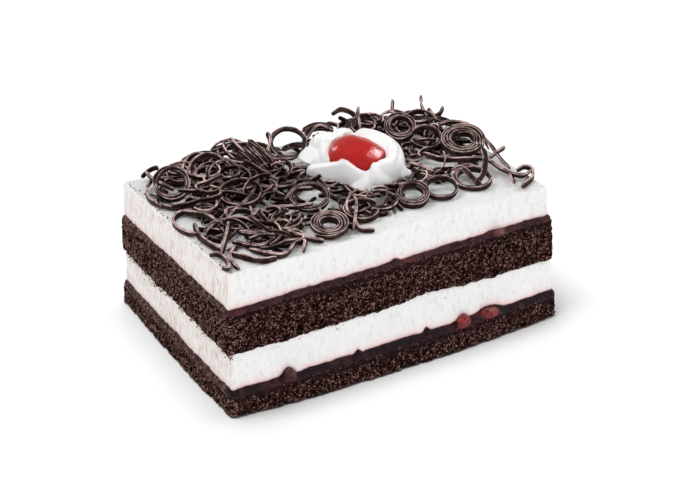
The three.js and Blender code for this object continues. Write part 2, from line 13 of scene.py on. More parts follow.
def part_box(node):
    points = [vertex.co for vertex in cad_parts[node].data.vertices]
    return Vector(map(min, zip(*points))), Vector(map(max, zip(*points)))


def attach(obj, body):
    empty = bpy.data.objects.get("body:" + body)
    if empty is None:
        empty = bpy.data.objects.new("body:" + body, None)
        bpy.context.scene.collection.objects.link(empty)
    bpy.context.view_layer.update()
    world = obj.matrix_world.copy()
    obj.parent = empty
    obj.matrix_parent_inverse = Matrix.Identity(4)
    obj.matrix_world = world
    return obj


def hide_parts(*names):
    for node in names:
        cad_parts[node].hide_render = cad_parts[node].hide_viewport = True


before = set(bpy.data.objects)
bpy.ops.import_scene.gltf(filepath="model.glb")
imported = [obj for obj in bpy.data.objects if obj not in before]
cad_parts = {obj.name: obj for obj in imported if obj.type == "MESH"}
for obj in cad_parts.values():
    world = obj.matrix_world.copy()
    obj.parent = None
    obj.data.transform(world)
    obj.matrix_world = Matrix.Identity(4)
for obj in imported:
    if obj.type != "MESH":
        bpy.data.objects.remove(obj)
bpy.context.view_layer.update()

MM = 0.001

# ---- driving sizes, the same as the solids have ----

# Plan corners of the block in the order front left, front right, back right, back left.
FOOT = np.array([(-55.2, -37), (55.2, -36.5), (55.2, 36.5), (-55.2, 37)])
RIM = np.array([(-54.5, -35.3), (51.8, -33.2), (52.5, 34), (-54.6, 35.2)])
FACE_OUT = np.array([(0, -1), (1, 0), (0, 1), (-1, 0)], float)
FOOT_BOW = np.array([2.4, 0.8, 1.2, 0.8])
BOW_HEIGHT = 12
CORNER_CUT = 1.3
CORNER_STEPS = 5

# Heights of the layer lines at the same four corners, from the ground up.
LINES = {
    "ground": (0, 0, 0, 0),
    "lowFillingFoot": (6.2, 6.6, 5.7, 5.5),
    "lowFillingTop": (8.5, 8.9, 8.0, 7.8),
    "middleCreamTop": (19.6, 19.3, 18.0, 18.1),
    "highFillingFoot": (31.7, 32.5, 30.6, 28.9),
    "highFillingTop": (33.3, 34.1, 32.2, 30.5),
    "top": (44.2, 43.1, 42.0, 41.6),
}
# Local rises of a line on the front face: middle x, half width, height.
RISES = {
    "lowFillingTop": [(-37.5, 3, 2.2), (-14.7, 1.6, 1.2), (8.7, 1.6, 1.2), (31, 8, 1.6)],
    "middleCreamTop": [(9, 14, 1.2)],
    "highFillingTop": [(-0.8, 2.5, 0.7), (33, 3, 0.8)],
}
LINE_WAVE = 0.25
# How far the waves of a line move on from face to face, and along one face.
FACE_WAVE = 111
SHARE_WAVE = 60
# How much of its upper line's rise a filling's lower line has.
FOOT_RISE = 0.3
# How ragged each line is at the scale of crumbs.
RAGGED = {"lowFillingFoot": 0.3, "lowFillingTop": 0.09, "middleCreamTop": 0.36,
          "highFillingFoot": 0.3, "highFillingTop": 0.09}

ROSETTE_AT = np.array([8.5, 2.5])
CHERRY_AT = np.array([8.2, 3.6, 48.4])
CHERRY_SIZE = np.array([9.2, 9, 6.2])
# The rectangle that the top's height is spread over: its front left corner and its size.
TOP_CORNER = (-54.5, -34.2)
TOP_SIZE = (106.5, 68.8)

# The solids' frame against the sizes above: the cherry's middle is in both.
low_corner, high_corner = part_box("cherry")
SHIFT = np.array([(low_corner[k] + high_corner[k]) / 2 / MM - CHERRY_AT[k] for k in (0, 1)] + [0])

# ---- small helpers ----

def lerp(a, b, f):
    return a + (b - a) * f


def smooth(low, high, value):
    f = np.clip((value - low) / (high - low), 0, 1)
    return f * f * (3 - 2 * f)


def unit(vector):
    return vector / np.maximum(np.linalg.norm(vector, axis=-1, keepdims=True), 1e-9)


def wave(along, up, seed):
    """Uneven wave between -1 and 1, the same as the solids' layer lines have."""
    slow = np.sin(along * 0.47 + up * 0.61 + seed)
    middle = np.sin(along * 1.13 - up * 0.83 + seed * 2.3)
    fast = np.sin(along * 2.31 + up * 1.71 + seed * 4.1)
    return 0.4 * slow + 0.35 * middle + 0.25 * fast


# Large odd numbers that stir a cell's place and a seed into one number.
STIR_PLACE = (73856093, 19349663, 83492791)
STIR_SEED = 2654435761
STIR_AGAIN = ((15, 2246822519), (13, 3266489917))


def hashed(cell, seed):
    """A number from 0 to 1 for each cell of an array. Products may wrap round: only 32 bits are kept."""
    x, y, z = (cell[..., axis] * STIR_PLACE[axis] for axis in range(3))
    mixed = ((x ^ y ^ z) + seed * STIR_SEED) & 0xFFFFFFFF
    for shift, factor in STIR_AGAIN:
        mixed = ((mixed ^ (mixed >> shift)) * factor) & 0xFFFFFFFF
    return ((mixed ^ (mixed >> 16)) & 0xFFFFFF) / 0xFFFFFF


def noise(points, size, seed):
    """Smooth noise from 0 to 1 with lumps about size millimetres across."""
    scaled = np.asarray(points, float) / size
    cell = np.floor(scaled).astype(np.int64)
    part = scaled - cell
    part = part * part * (3 - 2 * part)
    total = np.zeros(len(scaled))
    for corner in np.ndindex(2, 2, 2):
        share = np.prod(np.where(corner, part, 1 - part), axis=1)
        total += share * hashed(cell + np.array(corner), seed)
    return total


def grains(points, size, seed):
    """Distance to the nearest scattered grain, in grain sizes, and that grain's own number."""
    scaled = np.asarray(points, float) / size
    cell = np.floor(scaled).astype(np.int64)
    nearest = np.full(len(scaled), np.inf)
    own = np.zeros(len(scaled))
    for offset in np.ndindex(3, 3, 3):
        other = cell + np.array(offset) - 1
        middle = other + np.stack([hashed(other, seed + axis) for axis in range(3)], axis=1)
        distance = np.linalg.norm(scaled - middle, axis=1)
        closer = distance < nearest
        nearest = np.where(closer, distance, nearest)
        own = np.where(closer, hashed(other, seed + 7), own)
    return nearest, own


# ---- meshes ----

def placed(name, data):
    """An object in the scene with this data."""
    made = bpy.data.objects.new(name, data)
    bpy.context.scene.collection.objects.link(made)
    return made


def keep_numbers(data, name, values):
    """Keeps one number at each point of a mesh, for its material."""
    layer = data.attributes.new(name, "FLOAT", "POINT")
    layer.data.foreach_set("value", values.astype(np.float32))


class Mesh:
    """Points, faces and named numbers at each point, gathered part by part."""

    def __init__(self, *part, **values):
        self.points = []
        self.faces = []
        self.values = {}
        self.count = 0
        if part:
            self.add(*part, **values)

    def add(self, points, faces, **values):
        self.points.append(np.asarray(points, float))
        self.faces += [tuple(int(k) + self.count for k in face) for face in faces]
        for name, value in values.items():
            self.values.setdefault(name, []).append(np.broadcast_to(value, len(points)))
        self.count += len(points)

    def piece(self, name, material, slot, *replaced):
        """The finished object, riding on the cake's body."""
        data = bpy.data.meshes.new(name)
        data.from_pydata(((np.concatenate(self.points) + SHIFT) * MM).tolist(), [], self.faces)
        for key, parts in self.values.items():
            keep_numbers(data, key, np.concatenate(parts))
        data.shade_smooth()
        data.materials.append(material)
        made = placed(name, data)
        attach(made, "root")
        if replaced:
            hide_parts(*replaced)
        return made


def tube_faces(rings, sides, endless=False):
    """Four-sided faces between closed rings of points; endless joins the last ring to the first."""
    faces = []
    for k in range(rings if endless else rings - 1):
        this, following = k * sides, (k + 1) % rings * sides
        for i in range(sides):
            j = (i + 1) % sides
            faces.append((this + i, this + j, following + j, following + i))
    return faces


def closed_tube(rings):
    """Points and faces of a tube through rings (k, sides, 3), closed by a fan at both ends."""
    count, sides = rings.shape[:2]
    points = np.concatenate([rings.reshape(-1, 3), [rings[0].mean(0), rings[-1].mean(0)]])
    faces = tube_faces(count, sides)
    first, last = count * sides, count * sides + 1
    for i in range(sides):
        j = (i + 1) % sides
        faces.append((first, j, i))
        faces.append((last, (count - 1) * sides + i, (count - 1) * sides + j))
    return points, faces


def ball(around, up):
    """Rings of directions from the south pole to the north pole, without the poles."""
    tilt = np.linspace(-np.pi / 2, np.pi / 2, up + 2)[1:-1]
    turn = np.linspace(0, 2 * np.pi, around, endpoint=False)
    flat = np.stack([np.cos(turn), np.sin(turn), np.zeros(around)], axis=1)
    return np.array([flat * math.cos(t) + (0, 0, math.sin(t)) for t in tilt])


# ---- materials ----

# How far noise pulls the edges of a shader's grains about, in grain sizes.
GRAIN_BEND = 1.1


class Shader:
    """A material's node tree with short calls for the nodes used here. Sizes are in millimetres."""

    def __init__(self, name, **sockets):
        self.material = bpy.data.materials.new(name)
        self.material.use_nodes = True
        self.tree = self.material.node_tree
        self.surface = self.tree.nodes["Principled BSDF"]
        self.finish(**sockets)

    def put(self, target, value):
        """Links a socket to the target, or sets the target to a constant."""
        if isinstance(value, bpy.types.NodeSocket):
            self.tree.links.new(value, target)
        else:
            target.default_value = value

    def node(self, kind, settings=None, **inputs):
        """A new node. Its inputs go by name, or by number as i0, i1 and i2."""
        made = self.tree.nodes.new("ShaderNode" + kind)
        for key, value in (settings or {}).items():
            setattr(made, key, value)
        for key, value in inputs.items():
            numbered = key[0] == "i" and key[1:].isdigit()
            self.put(made.inputs[int(key[1:]) if numbered else key.replace("_", " ")], value)
        return made

    def number(self, name):
        """A number kept at each point of the mesh."""
        return self.node("Attribute", {"attribute_name": name}).outputs["Fac"]

    def place(self):
        """The place on the object, in metres."""
        return self.node("TexCoord").outputs["Object"]

    def noise(self, size, detail=2.0, stretch=(1, 1, 1)):
        """Noise with lumps of this size."""
        scale = tuple(1 / MM / size / s for s in stretch)
        mapped = self.node("Mapping", {"vector_type": "POINT"}, Vector=self.place(), Scale=scale)
        made = self.node("TexNoise", Vector=mapped.outputs[0], Scale=1.0, Detail=detail, Roughness=0.6)
        return made.outputs["Fac"]

    def grain(self, size):
        """Grains of this size: the distance from a grain's middle, and its own shade from 0 to 1."""
        place = self.place()
        scale = 1 / MM / size
        bent = self.node("TexNoise", Vector=place, Scale=scale, Detail=1.0).outputs["Color"]
        bend = (GRAIN_BEND * size * MM,) * 3
        moved = self.node("VectorMath", {"operation": "MULTIPLY_ADD"}, i0=bent, i1=bend, i2=place)
        made = self.node("TexVoronoi", Vector=moved.outputs[0], Scale=scale)
        own = self.node("SeparateColor", Color=made.outputs["Color"])
        return made.outputs["Distance"], own.outputs["Red"]

    def ramp(self, value, low, high):
        """Value stretched so that low gives 0 and high gives 1."""
        settings = {"clamp": True, "interpolation_type": "SMOOTHSTEP"}
        made = self.node("MapRange", settings, Value=value, From_Min=low, From_Max=high)
        return made.outputs["Result"]

    def math(self, operation, a, b):
        return self.node("Math", {"operation": operation}, i0=a, i1=b).outputs[0]

    def plus(self, a, b):
        return self.math("ADD", a, b)

    def times(self, a, b):
        return self.math("MULTIPLY", a, b)

    def mix(self, share, a, b):
        """Colour a going to colour b with the share."""
        made = self.node("Mix", {"data_type": "RGBA", "clamp_factor": True})
        inputs = {socket.identifier: socket for socket in made.inputs}
        self.put(inputs["Factor_Float"], share)
        for key, colour in (("A_Color", a), ("B_Color", b)):
            self.put(inputs[key], (*colour, 1) if isinstance(colour, tuple) else colour)
        return next(socket for socket in made.outputs if socket.identifier == "Result_Color")

    def bump(self, height, distance):
        """Bump from a height between 0 and 1 that stands for a distance."""
        made = self.node("Bump", Strength=1.0, Distance=distance * MM, Height=height)
        return made.outputs["Normal"]

    def finish(self, **sockets):
        """Sets the surface's inputs and gives the material."""
        for socket, value in sockets.items():
            self.put(self.surface.inputs[socket.replace("_", " ")], value)
        return self.material


def soft(weight, depth, colours):
    """How much light goes under the surface, how deep in millimetres, and how far each colour goes."""
    return {"Subsurface_Weight": weight, "Subsurface_Scale": depth * MM, "Subsurface_Radius": colours}


# Colours are linear red, green and blue. What cocoa mirrors is tinted red.
COCOA_SHINE = (1.0, 0.5, 0.45, 1)
CRUMB_GRAIN = 0.43
# Painted shade: the black between the crumb's grains and in its pores.
CRUMB_PORE_SHADE = (0.0016, 0.0004, 0.0004)
CRUMB_BROWN = (0.043, 0.0168, 0.0152)
CRUMB_TAN = (0.275, 0.160, 0.132)
CRUMB_SOAKED = (0.020, 0.0082, 0.0115)
# Loose crumbs are painted lighter, as painted light for lying in the open.
LOOSE_CRUMB_DARK = (0.075, 0.036, 0.028)
LOOSE_CRUMB_LIGHT = (0.30, 0.19, 0.15)


def crumb_colour(shade):
    """Crumb: painted shade, black between the grains and in the pores; brown on most grains, tan on a few."""
    apart, own = shade.grain(CRUMB_GRAIN)
    lit = shade.math("SUBTRACT", own, shade.times(shade.ramp(apart, 0.35, 0.75), 0.55))
    shown = shade.plus(shade.times(lit, 0.62), shade.times(shade.number("tone"), 0.5))
    clumped = shade.plus(shade.times(shade.noise(1.6), 0.36), -0.13)
    shown = shade.plus(shown, clumped)
    dark = shade.mix(shade.ramp(shown, 0.12, 0.60), CRUMB_PORE_SHADE, CRUMB_BROWN)
    return shade.mix(shade.ramp(shown, 0.54, 0.90), dark, CRUMB_TAN), lit


def sponge_material():
    """Dark crumb: black pores and gaps between grains as painted shade, brown grains and tan specks, purple
    where the filling soaked in.
    """
    shade = Shader("chocolate_sponge", Roughness=0.9, Specular_IOR_Level=0.06, Specular_Tint=COCOA_SHINE)
    crumb, lit = crumb_colour(shade)
    colour = shade.mix(shade.number("soak"), crumb, shade.mix(0.82, crumb, CRUMB_SOAKED))
    return shade.finish(Base_Color=colour, Normal=shade.bump(lit, 0.22))


def loose_crumb_material():
    """Loose crumbs, painted lighter than the cut sponge: painted light, for lying in the open."""
    shade = Shader("loose_crumb", Roughness=0.9, Specular_IOR_Level=0.06)
    colour = shade.mix(shade.ramp(shade.noise(1.6), 0.35, 0.65), LOOSE_CRUMB_DARK, LOOSE_CRUMB_LIGHT)
    return shade.finish(Base_Color=colour)


JUICE_BLACK = (0.0085, 0.0030, 0.0046)
JUICE_PURPLE = (0.058, 0.0225, 0.0290)
JUICE_DIM = (0.0085, 0.0048, 0.0062)
JUICE_RED = (0.110, 0.030, 0.031)
JUICE_ON_CRUMB = (0.105, 0.056, 0.062)


def filling_material():
    """Dark cherry filling: purple black, redder where it is thin, with crumb dragged over it."""
    shade = Shader("cherry_filling", Roughness=0.6, Specular_IOR_Level=0.12)
    crumb, _ = crumb_colour(shade)
    dark = shade.mix(shade.ramp(shade.noise(0.7, 3.0), 0.32, 0.68), JUICE_BLACK, JUICE_PURPLE)
    dark = shade.mix(shade.number("dim"), dark, JUICE_DIM)
    red = shade.mix(shade.number("red"), dark, JUICE_RED)
    colour = shade.mix(shade.number("wet"), shade.mix(0.26, crumb, JUICE_ON_CRUMB), red)
    return shade.finish(Base_Color=colour, Normal=shade.bump(shade.noise(0.6, 3.0), 0.2))


CREAM_PLAIN = ((0.82, 0.815, 0.815), (0.87, 0.865, 0.86))
CREAM_FAINT = (0.66, 0.655, 0.65)
CREAM_WARM = ((0.865, 0.825, 0.80), (0.58, 0.46, 0.42))
CREAM_FLECK = (0.16, 0.095, 0.075)
CREAM_CRUMBY = (0.42, 0.31, 0.25)
CREAM_STAIN = ((0.72, 0.36, 0.35), (0.86, 0.60, 0.58))


def cream_material():
    """Cut whipped cream: faint upright streaks, pink where the filling stains it, warmer on the left."""
    shade = Shader("whipped_cream", Roughness=0.6, Specular_IOR_Level=0.2,
                   **soft(0.10, 0.7, (1.0, 0.85, 0.75)))
    left = shade.number("left")
    faint = shade.ramp(shade.noise(1.1, 3.0, (1, 1, 2.5)), 0.48, 0.76)
    plain = shade.mix(shade.times(faint, 0.7), shade.mix(shade.noise(6.0), *CREAM_PLAIN), CREAM_FAINT)
    streak = shade.ramp(shade.noise(0.8, 4.0, (1, 1, 4)), 0.40, 0.70)
    broad = shade.ramp(shade.noise(3.0, 2.0, (1, 1, 2)), 0.3, 0.7)
    warm = shade.mix(shade.times(streak, shade.plus(shade.times(broad, 0.7), 0.3)), *CREAM_WARM)
    colour = shade.mix(left, plain, warm)
    fleck = shade.ramp(shade.noise(0.42, 1.0), 0.71, 0.76)
    fleck = shade.times(fleck, shade.plus(shade.times(left, 0.75), 0.06))
    colour = shade.mix(fleck, colour, CREAM_FLECK)
    colour = shade.mix(shade.number("crumby"), colour, CREAM_CRUMBY)
    colour = shade.mix(shade.number("stain_and_reflection"), colour, shade.mix(shade.noise(1.2), *CREAM_STAIN))
    return shade.finish(Base_Color=colour, Normal=shade.bump(shade.noise(0.7, 3.0, (1, 1, 3)), 0.12))


PIPED_PLAIN = ((0.93, 0.93, 0.93), (0.96, 0.955, 0.95))
# Painted shade: the greyer cream laid low down on the rosette's steep sides.
PIPED_LOW_SHADE = (0.86, 0.855, 0.85)
# Partly a juice stain, partly a painted red reflection of the cherry on the cream beside it.
PIPED_STAIN_AND_REFLECTION = (0.78, 0.25, 0.24)


def piped_material():
    """Piped cream: smooth and white, greyer low down on its steep sides as painted shade, and red close to
    the cherry from a juice stain and a painted reflection of the cherry.
    """
    shade = Shader("piped_cream", Roughness=0.4, Specular_IOR_Level=0.3, **soft(0.12, 0.8, (1.0, 0.9, 0.8)))
    colour = shade.mix(shade.number("low"), shade.mix(shade.noise(5.0), *PIPED_PLAIN), PIPED_LOW_SHADE)
    # Near the cherry: a juice stain and a painted red reflection of the cherry.
    colour = shade.mix(shade.times(shade.number("stain_and_reflection"), 0.35), colour, PIPED_STAIN_AND_REFLECTION)
    return shade.finish(Base_Color=colour, Normal=shade.bump(shade.noise(1.1, 2.0), 0.06))


CHOCOLATE_DARK = (0.0085, 0.0015, 0.0011)
# Partly scraped chocolate, partly painted highlight on the shavings' edges.
CHOCOLATE_SCRAPED_AND_HIGHLIGHT = (0.80, 0.575, 0.545)


def chocolate_material():
    """Shaved dark chocolate: near black faces, and paler edges that are partly scraped and partly painted
    highlight, broken up in places.
    """
    shade = Shader("dark_chocolate", Roughness=0.45, Specular_IOR_Level=0.055, Specular_Tint=COCOA_SHINE)
    # The painted highlight on the edges is broken up in patches.
    rim_patches = shade.times(shade.ramp(shade.noise(2.6, 4.0), 0.39, 0.62), 1.3)
    rim = shade.times(shade.number("edge"), shade.plus(rim_patches, 0.38))
    darker = tuple(value * 0.45 for value in CHOCOLATE_DARK)
    colour = shade.mix(rim, shade.mix(shade.noise(2.4), darker, CHOCOLATE_DARK), CHOCOLATE_SCRAPED_AND_HIGHLIGHT)
    return shade.finish(Base_Color=colour, Normal=shade.bump(shade.noise(0.4, 3.0), 0.06))


CHERRY_RED = ((0.34, 0.004, 0.003), (0.60, 0.010, 0.007))
# Painted highlight on the crests of the cherry's wrinkles.
CHERRY_FOLD_HIGHLIGHT = (0.78, 0.13, 0.07)


def cherry_material():
    """Glazed cherry: deep red flesh under a wet, clear skin, with a painted highlight in orange on the crests
    of its wrinkles.
    """
    shade = Shader("glazed_cherry", Roughness=0.3, Specular_IOR_Level=0.12, Coat_Weight=0.8,
                   Coat_Roughness=0.11, **soft(0.12, 1.2, (1.0, 0.08, 0.05)))
    colour = shade.mix(shade.number("wrinkle"), shade.mix(shade.noise(3.4, 3.0), *CHERRY_RED), CHERRY_FOLD_HIGHLIGHT)
    normal = shade.bump(shade.noise(1.3, 3.0), 0.16)
    return shade.finish(Base_Color=colour, Normal=normal, Coat_Normal=normal)


def cherry_piece_material(name, dark, light):
    """Cut cherry in the filling: mottled, moist."""
    shade = Shader(name, Roughness=0.3, Specular_IOR_Level=0.35, **soft(0.1, 0.6, (1.0, 0.15, 0.1)))
    colour = shade.mix(shade.ramp(shade.noise(1.3, 2.0), 0.34, 0.66), dark, light)
    return shade.finish(Base_Color=colour, Normal=shade.bump(shade.noise(0.6, 3.0), 0.25))


# ---- the block ----

def mixed(values, face, share):
    """Values of the four corners, spread evenly along the faces."""
    values = np.asarray(values, float)
    ends = values[face], values[(face + 1) % 4]
    return lerp(*ends, share if values.ndim == 1 else share[:, None])


def plan(face, share, height):
    """The places in plan at these shares of the faces, between the foot and the rim."""
    f = (height / mixed(LINES["top"], face, share))[:, None]
    return lerp(mixed(FOOT, face, share), mixed(RIM, face, share), f)


class Outline:
    """Places round the block, a step apart, with rounded corners."""

    def __init__(self, step):
        lengths = np.linalg.norm(np.roll(FOOT, -1, axis=0) - FOOT, axis=1)
        rows = []
        for face, length in enumerate(lengths.tolist()):
            cut = CORNER_CUT / length
            count = int(length / step)
            rows += [(face, lerp(cut, 1 - cut, k / (count - 1)), 0) for k in range(count)]
            rows += [(face, 1, k / CORNER_STEPS) for k in range(1, CORNER_STEPS)]
        self.count = len(rows)
        self.face = np.array([row[0] for row in rows])
        self.share, self.turn = np.array([row[1:] for row in rows], float).T
        self.following = (self.face + 1) % 4
        self.cut = CORNER_CUT / lengths[self.face]
        self.next_cut = CORNER_CUT / lengths[self.following]
        self.outward = unit(lerp(FACE_OUT[self.face], FACE_OUT[self.following], self.turn[:, None]))
        self.flat = self.at(np.zeros(self.count), 0) * (1, 1, 0)

    def at(self, height, out):
        """The points at these heights, this far outwards."""
        straight = plan(self.face, self.share, height)
        start = plan(self.face, 1 - self.cut, height)
        corner = plan(self.face, np.ones(self.count), height)
        end = plan(self.following, self.next_cut, height)
        t = self.turn[:, None]
        curved = (1 - t) ** 2 * start + 2 * t * (1 - t) * corner + t ** 2 * end
        xy = np.where(t > 0, curved, straight)
        spread = 4 * self.share * (1 - self.share) * np.clip(1 - height / BOW_HEIGHT, 0, 1)
        out = out + FOOT_BOW[self.face] * spread
        return np.column_stack([xy + self.outward * out[:, None], height])

    def line(self, name):
        """The height of a layer line at each place."""
        level = mixed(LINES[name], self.face, self.share)
        if name in ("ground", "top"):
            return level
        before = wave(FACE_WAVE * self.face + SHARE_WAVE * self.share, 0, len(name))
        after = wave(FACE_WAVE * self.following, 0, len(name))
        rise = np.zeros(self.count)
        x = mixed(FOOT, self.face, self.share)[:, 0]
        for at, half, size in RISES.get(name.replace("FillingFoot", "FillingTop"), []):
            near = smooth(0, 1, 1 - np.abs(x - at) / half)
            rise += np.where(self.face == 0, size * near, 0)
        rise *= FOOT_RISE if name.endswith("Foot") else 1
        rag = 1.2 * noise(self.flat, 1.5, len(name)) + 0.8 * noise(self.flat, 0.7, len(name) + 3) - 1
        return level + rise + LINE_WAVE * lerp(before, after, self.turn) + RAGGED[name] * rag


def cream_top(x, y):
    """Height of the cream's top, sloping evenly between the four corners."""
    u = np.clip((x - TOP_CORNER[0]) / TOP_SIZE[0], 0, 1)
    v = np.clip((y - TOP_CORNER[1]) / TOP_SIZE[1], 0, 1)
    front = lerp(LINES["top"][0], LINES["top"][1], u)
    back = lerp(LINES["top"][3], LINES["top"][2], u)
    return lerp(front, back, v)


def build_layer(low, high, step, rows, relief, sink=0.0, closing=(0.03, 0.35, 0.75)):
    """One layer's closed skin: rings up its sides from line to line, then rings across top and bottom.

    relief takes the points, their share of the height and how far they are over the lower line and
    under the upper one. It gives how far out each point moves, and numbers to keep at each point.
    sink draws the upper rim down for a rounded edge. closing gives the rings across, from the rim
    at 0 to the middle at 1.
    """
    outline = Outline(step)
    bottom, top = outline.line(low), outline.line(high)
    rings = []
    kept = []
    for share in np.linspace(0, 1, rows):
        height = lerp(bottom, top - sink, share)
        out, values = relief(outline.at(height, 0), share, height - bottom, top - height)
        rings.append(outline.at(height, out))
        kept.append(values)
    below = []
    above = []
    for share in closing:
        for ring, line, across in ((rings[0], bottom, below), (rings[-1], top, above)):
            plain = outline.at(line, 0)[:, :2]
            xy = lerp(ring[:, :2], plain, smooth(0, 0.06, share)) * (1 - share)
            across.append(np.column_stack([xy, lerp(line, line.mean(), share)]))
    points, faces = closed_tube(np.array(below[::-1] + rings + above))
    empty = {key: np.zeros(outline.count) for key in kept[0]}
    kept = [empty] * len(below) + kept + [empty] * len(above)
    values = {key: np.concatenate([row[key] for row in kept] + [[0, 0]]) for key in empty}
    return points, faces, values


# How far each layer stands out from the plan, and where its left or front face begins and is whole.
SPONGE_OUT = 0.38
CREAM_OUT = -0.5
FILLING_OUT = 0.3
SPONGE_LEFT = (-52.5, -54.0)
CREAM_LEFT = (-53.0, -54.2)
FILLING_FRONT = (-33.2, -34.2)
# The crumb's large and fine grains and its pores: their sizes, and how far they stand out or sink in.
LARGE_GRAIN = 1.3
FINE_GRAIN = 0.6
PORE = 0.75
GRAIN_RISE = 0.5
PORE_DEPTH = 0.35
# A sponge meets the filling on it over this height. Its foot is rounded and ragged.
SEAM_HEIGHT = 0.9
SEAM_OUT = 0.33
EDGE_HEIGHT = 0.8
SPONGE_ROUND = 0.8
SPONGE_RAGGED = 0.7
FILLING_ROUND = 0.45
# The cut cream's slow swells, upright streaks, fine unevenness and small pits, in millimetres.
CREAM_SWELL = 0.35
CREAM_STREAK = 0.14
CREAM_FINE = 0.16
CREAM_PIT = 0.28
# How far the filling soaks into the sponge under it, and stains the cream over it.
SOAK_DEPTH = 2.2
STAIN_DEPTH = 0.8
# Uneven reliefs, as layers of noise: strength, size of the lumps, and the layer's own seed.
SEAM_LUMPS = ((0.5, 2.4, 61), (0.25, 0.8, 62))
FILLING_LUMPS = ((0.4, 1.8, 0), (0.25, 0.8, 5))
TOP_SWELLS = ((0.5, 9, 31), (0.175, 2.6, 33))


def swing(points, size, seed):
    """Noise from -0.5 to 0.5."""
    return noise(points, size, seed) - 0.5


def uneven(points, layers, seed=0):
    """The sum of layers of noise, each swinging both ways."""
    return sum(strength * swing(points, size, seed + own) for strength, size, own in layers)


def crumb_relief(points, seed):
    """Grains and pores of the crumb: how far out it stands, and its tone, lighter on the grains' middles and
    with painted shade in the pores.
    """
    large, _ = grains(points, LARGE_GRAIN, seed)
    fine, own = grains(points, FINE_GRAIN, seed + 20)
    lump = 1 - np.clip(large, 0, 1) ** 2
    crumb = 1 - np.clip(fine, 0, 1) ** 2
    pore = smooth(0.33, 0.20, noise(points, PORE, seed + 40))
    tone = 0.22 * lump + 0.40 * crumb + 0.75 * (own - 0.5)
    # Painted shade in the pores: the tone is darkened there.
    tone = tone * (1 - 0.9 * pore) + 0.25 * swing(points, 0.4, seed + 60)
    left = smooth(*SPONGE_LEFT, points[:, 0])
    return GRAIN_RISE * (tone - 0.35) - PORE_DEPTH * pore, tone * (1 + 0.45 * left) - 0.09 * left


def seam(points):
    """How far out a sponge and the filling on it both reach at their common line."""
    return SEAM_OUT + uneven(points * (1, 1, 0), SEAM_LUMPS)


def sponge_relief(seed):
    """Open crumb, soaked under the filling, rounded and ragged at its foot."""
    def relief(points, share, above, below):
        rough, tone = crumb_relief(points, seed)
        soak = smooth(SOAK_DEPTH, 0.2, below + 2.4 * swing(points, 1.1, seed + 80))
        soak = soak * (1 - 0.75 * smooth(*SPONGE_LEFT, points[:, 0]))
        out = SPONGE_OUT + 0.5 * swing(points, 9, seed + 90)
        out = lerp(out, seam(points), smooth(SEAM_HEIGHT, 0, below)) + rough * (1 - 0.4 * soak)
        rounded = -SPONGE_ROUND * smooth(EDGE_HEIGHT, 0, above)
        ragged = SPONGE_RAGGED * swing(points, 2.4, seed + 95) * smooth(3, 0.4, above)
        return out + rounded + ragged, {"tone": tone, "soak": soak}
    return relief


def filling_relief(seed, reds, dim):
    """Wet and lumpy filling, with crumb over it except in front.

    reds are the places where it shows red in front; dim is how much darker the whole band is.
    """
    def relief(points, share, above, below):
        rough, tone = crumb_relief(points, seed + 50)
        front = smooth(*FILLING_FRONT, points[:, 1])
        ragged = 0.9 * swing(points, 0.9, seed + 2)
        wet = smooth(lerp(1.0, -0.3, front), lerp(1.5, 0.3, front), share + ragged)
        thin = 0.5 * smooth(0.6, 0.76, noise(points, 2.6, seed + 7))
        for at, half in reds:
            thin = np.maximum(thin, smooth(half, 0.5 * half, np.abs(points[:, 0] - at)) * front)
        red = thin * (0.9 * noise(points, 0.9, seed + 9))
        out = FILLING_OUT + uneven(points, FILLING_LUMPS, seed) * lerp(0.5, 1, front)
        out = lerp(out, seam(points), smooth(SEAM_HEIGHT, 0, above))
        rounded = -FILLING_ROUND * smooth(EDGE_HEIGHT, 0, below)
        numbers = {"tone": tone, "wet": wet, "red": red, "dim": dim + 0 * red}
        return out + rounded + rough * (1 - wet), numbers
    return relief


def cream_relief(seed):
    """Cut cream, stained by the filling under it, with crumb dragged over its upper rim on the left."""
    def relief(points, share, above, below):
        left = smooth(*CREAM_LEFT, points[:, 0])
        soft = swing(points, 7, seed + 3)
        streak = swing(points * (1, 1, 0.12), 0.9, seed)
        fine = swing(points, 1.4, seed + 5)
        pit = smooth(0.17, 0.10, noise(points, 1.1, seed + 9))
        out = CREAM_OUT + CREAM_SWELL * soft + (CREAM_STREAK + CREAM_STREAK * left) * streak
        out = out + CREAM_FINE * fine - CREAM_PIT * pit
        fade = STAIN_DEPTH * (0.5 + noise(points * (1, 1, 0.3), 2.2, seed + 11))
        stain_and_reflection = np.clip(np.exp(-np.maximum(above, 0) / fade) * 1.05, 0, 1) * (1 - 0.35 * left)
        crumby = 0.6 * smooth(1.8, 0, below) * smooth(0.55, 0.75, noise(points, 0.9, seed + 13)) * left
        return out, {"stain_and_reflection": stain_and_reflection, "left": left, "crumby": crumby}
    return relief


# Where the filling shows red in the front face: x and half the width of the patch.
LOW_REDS = [(-37, 2.4), (21, 3.0), (28.4, 5.0)]
HIGH_REDS = [(-52, 3.0), (2.6, 4.2), (33, 4.6), (51, 2.4)]
LOW_DIM = 0.75


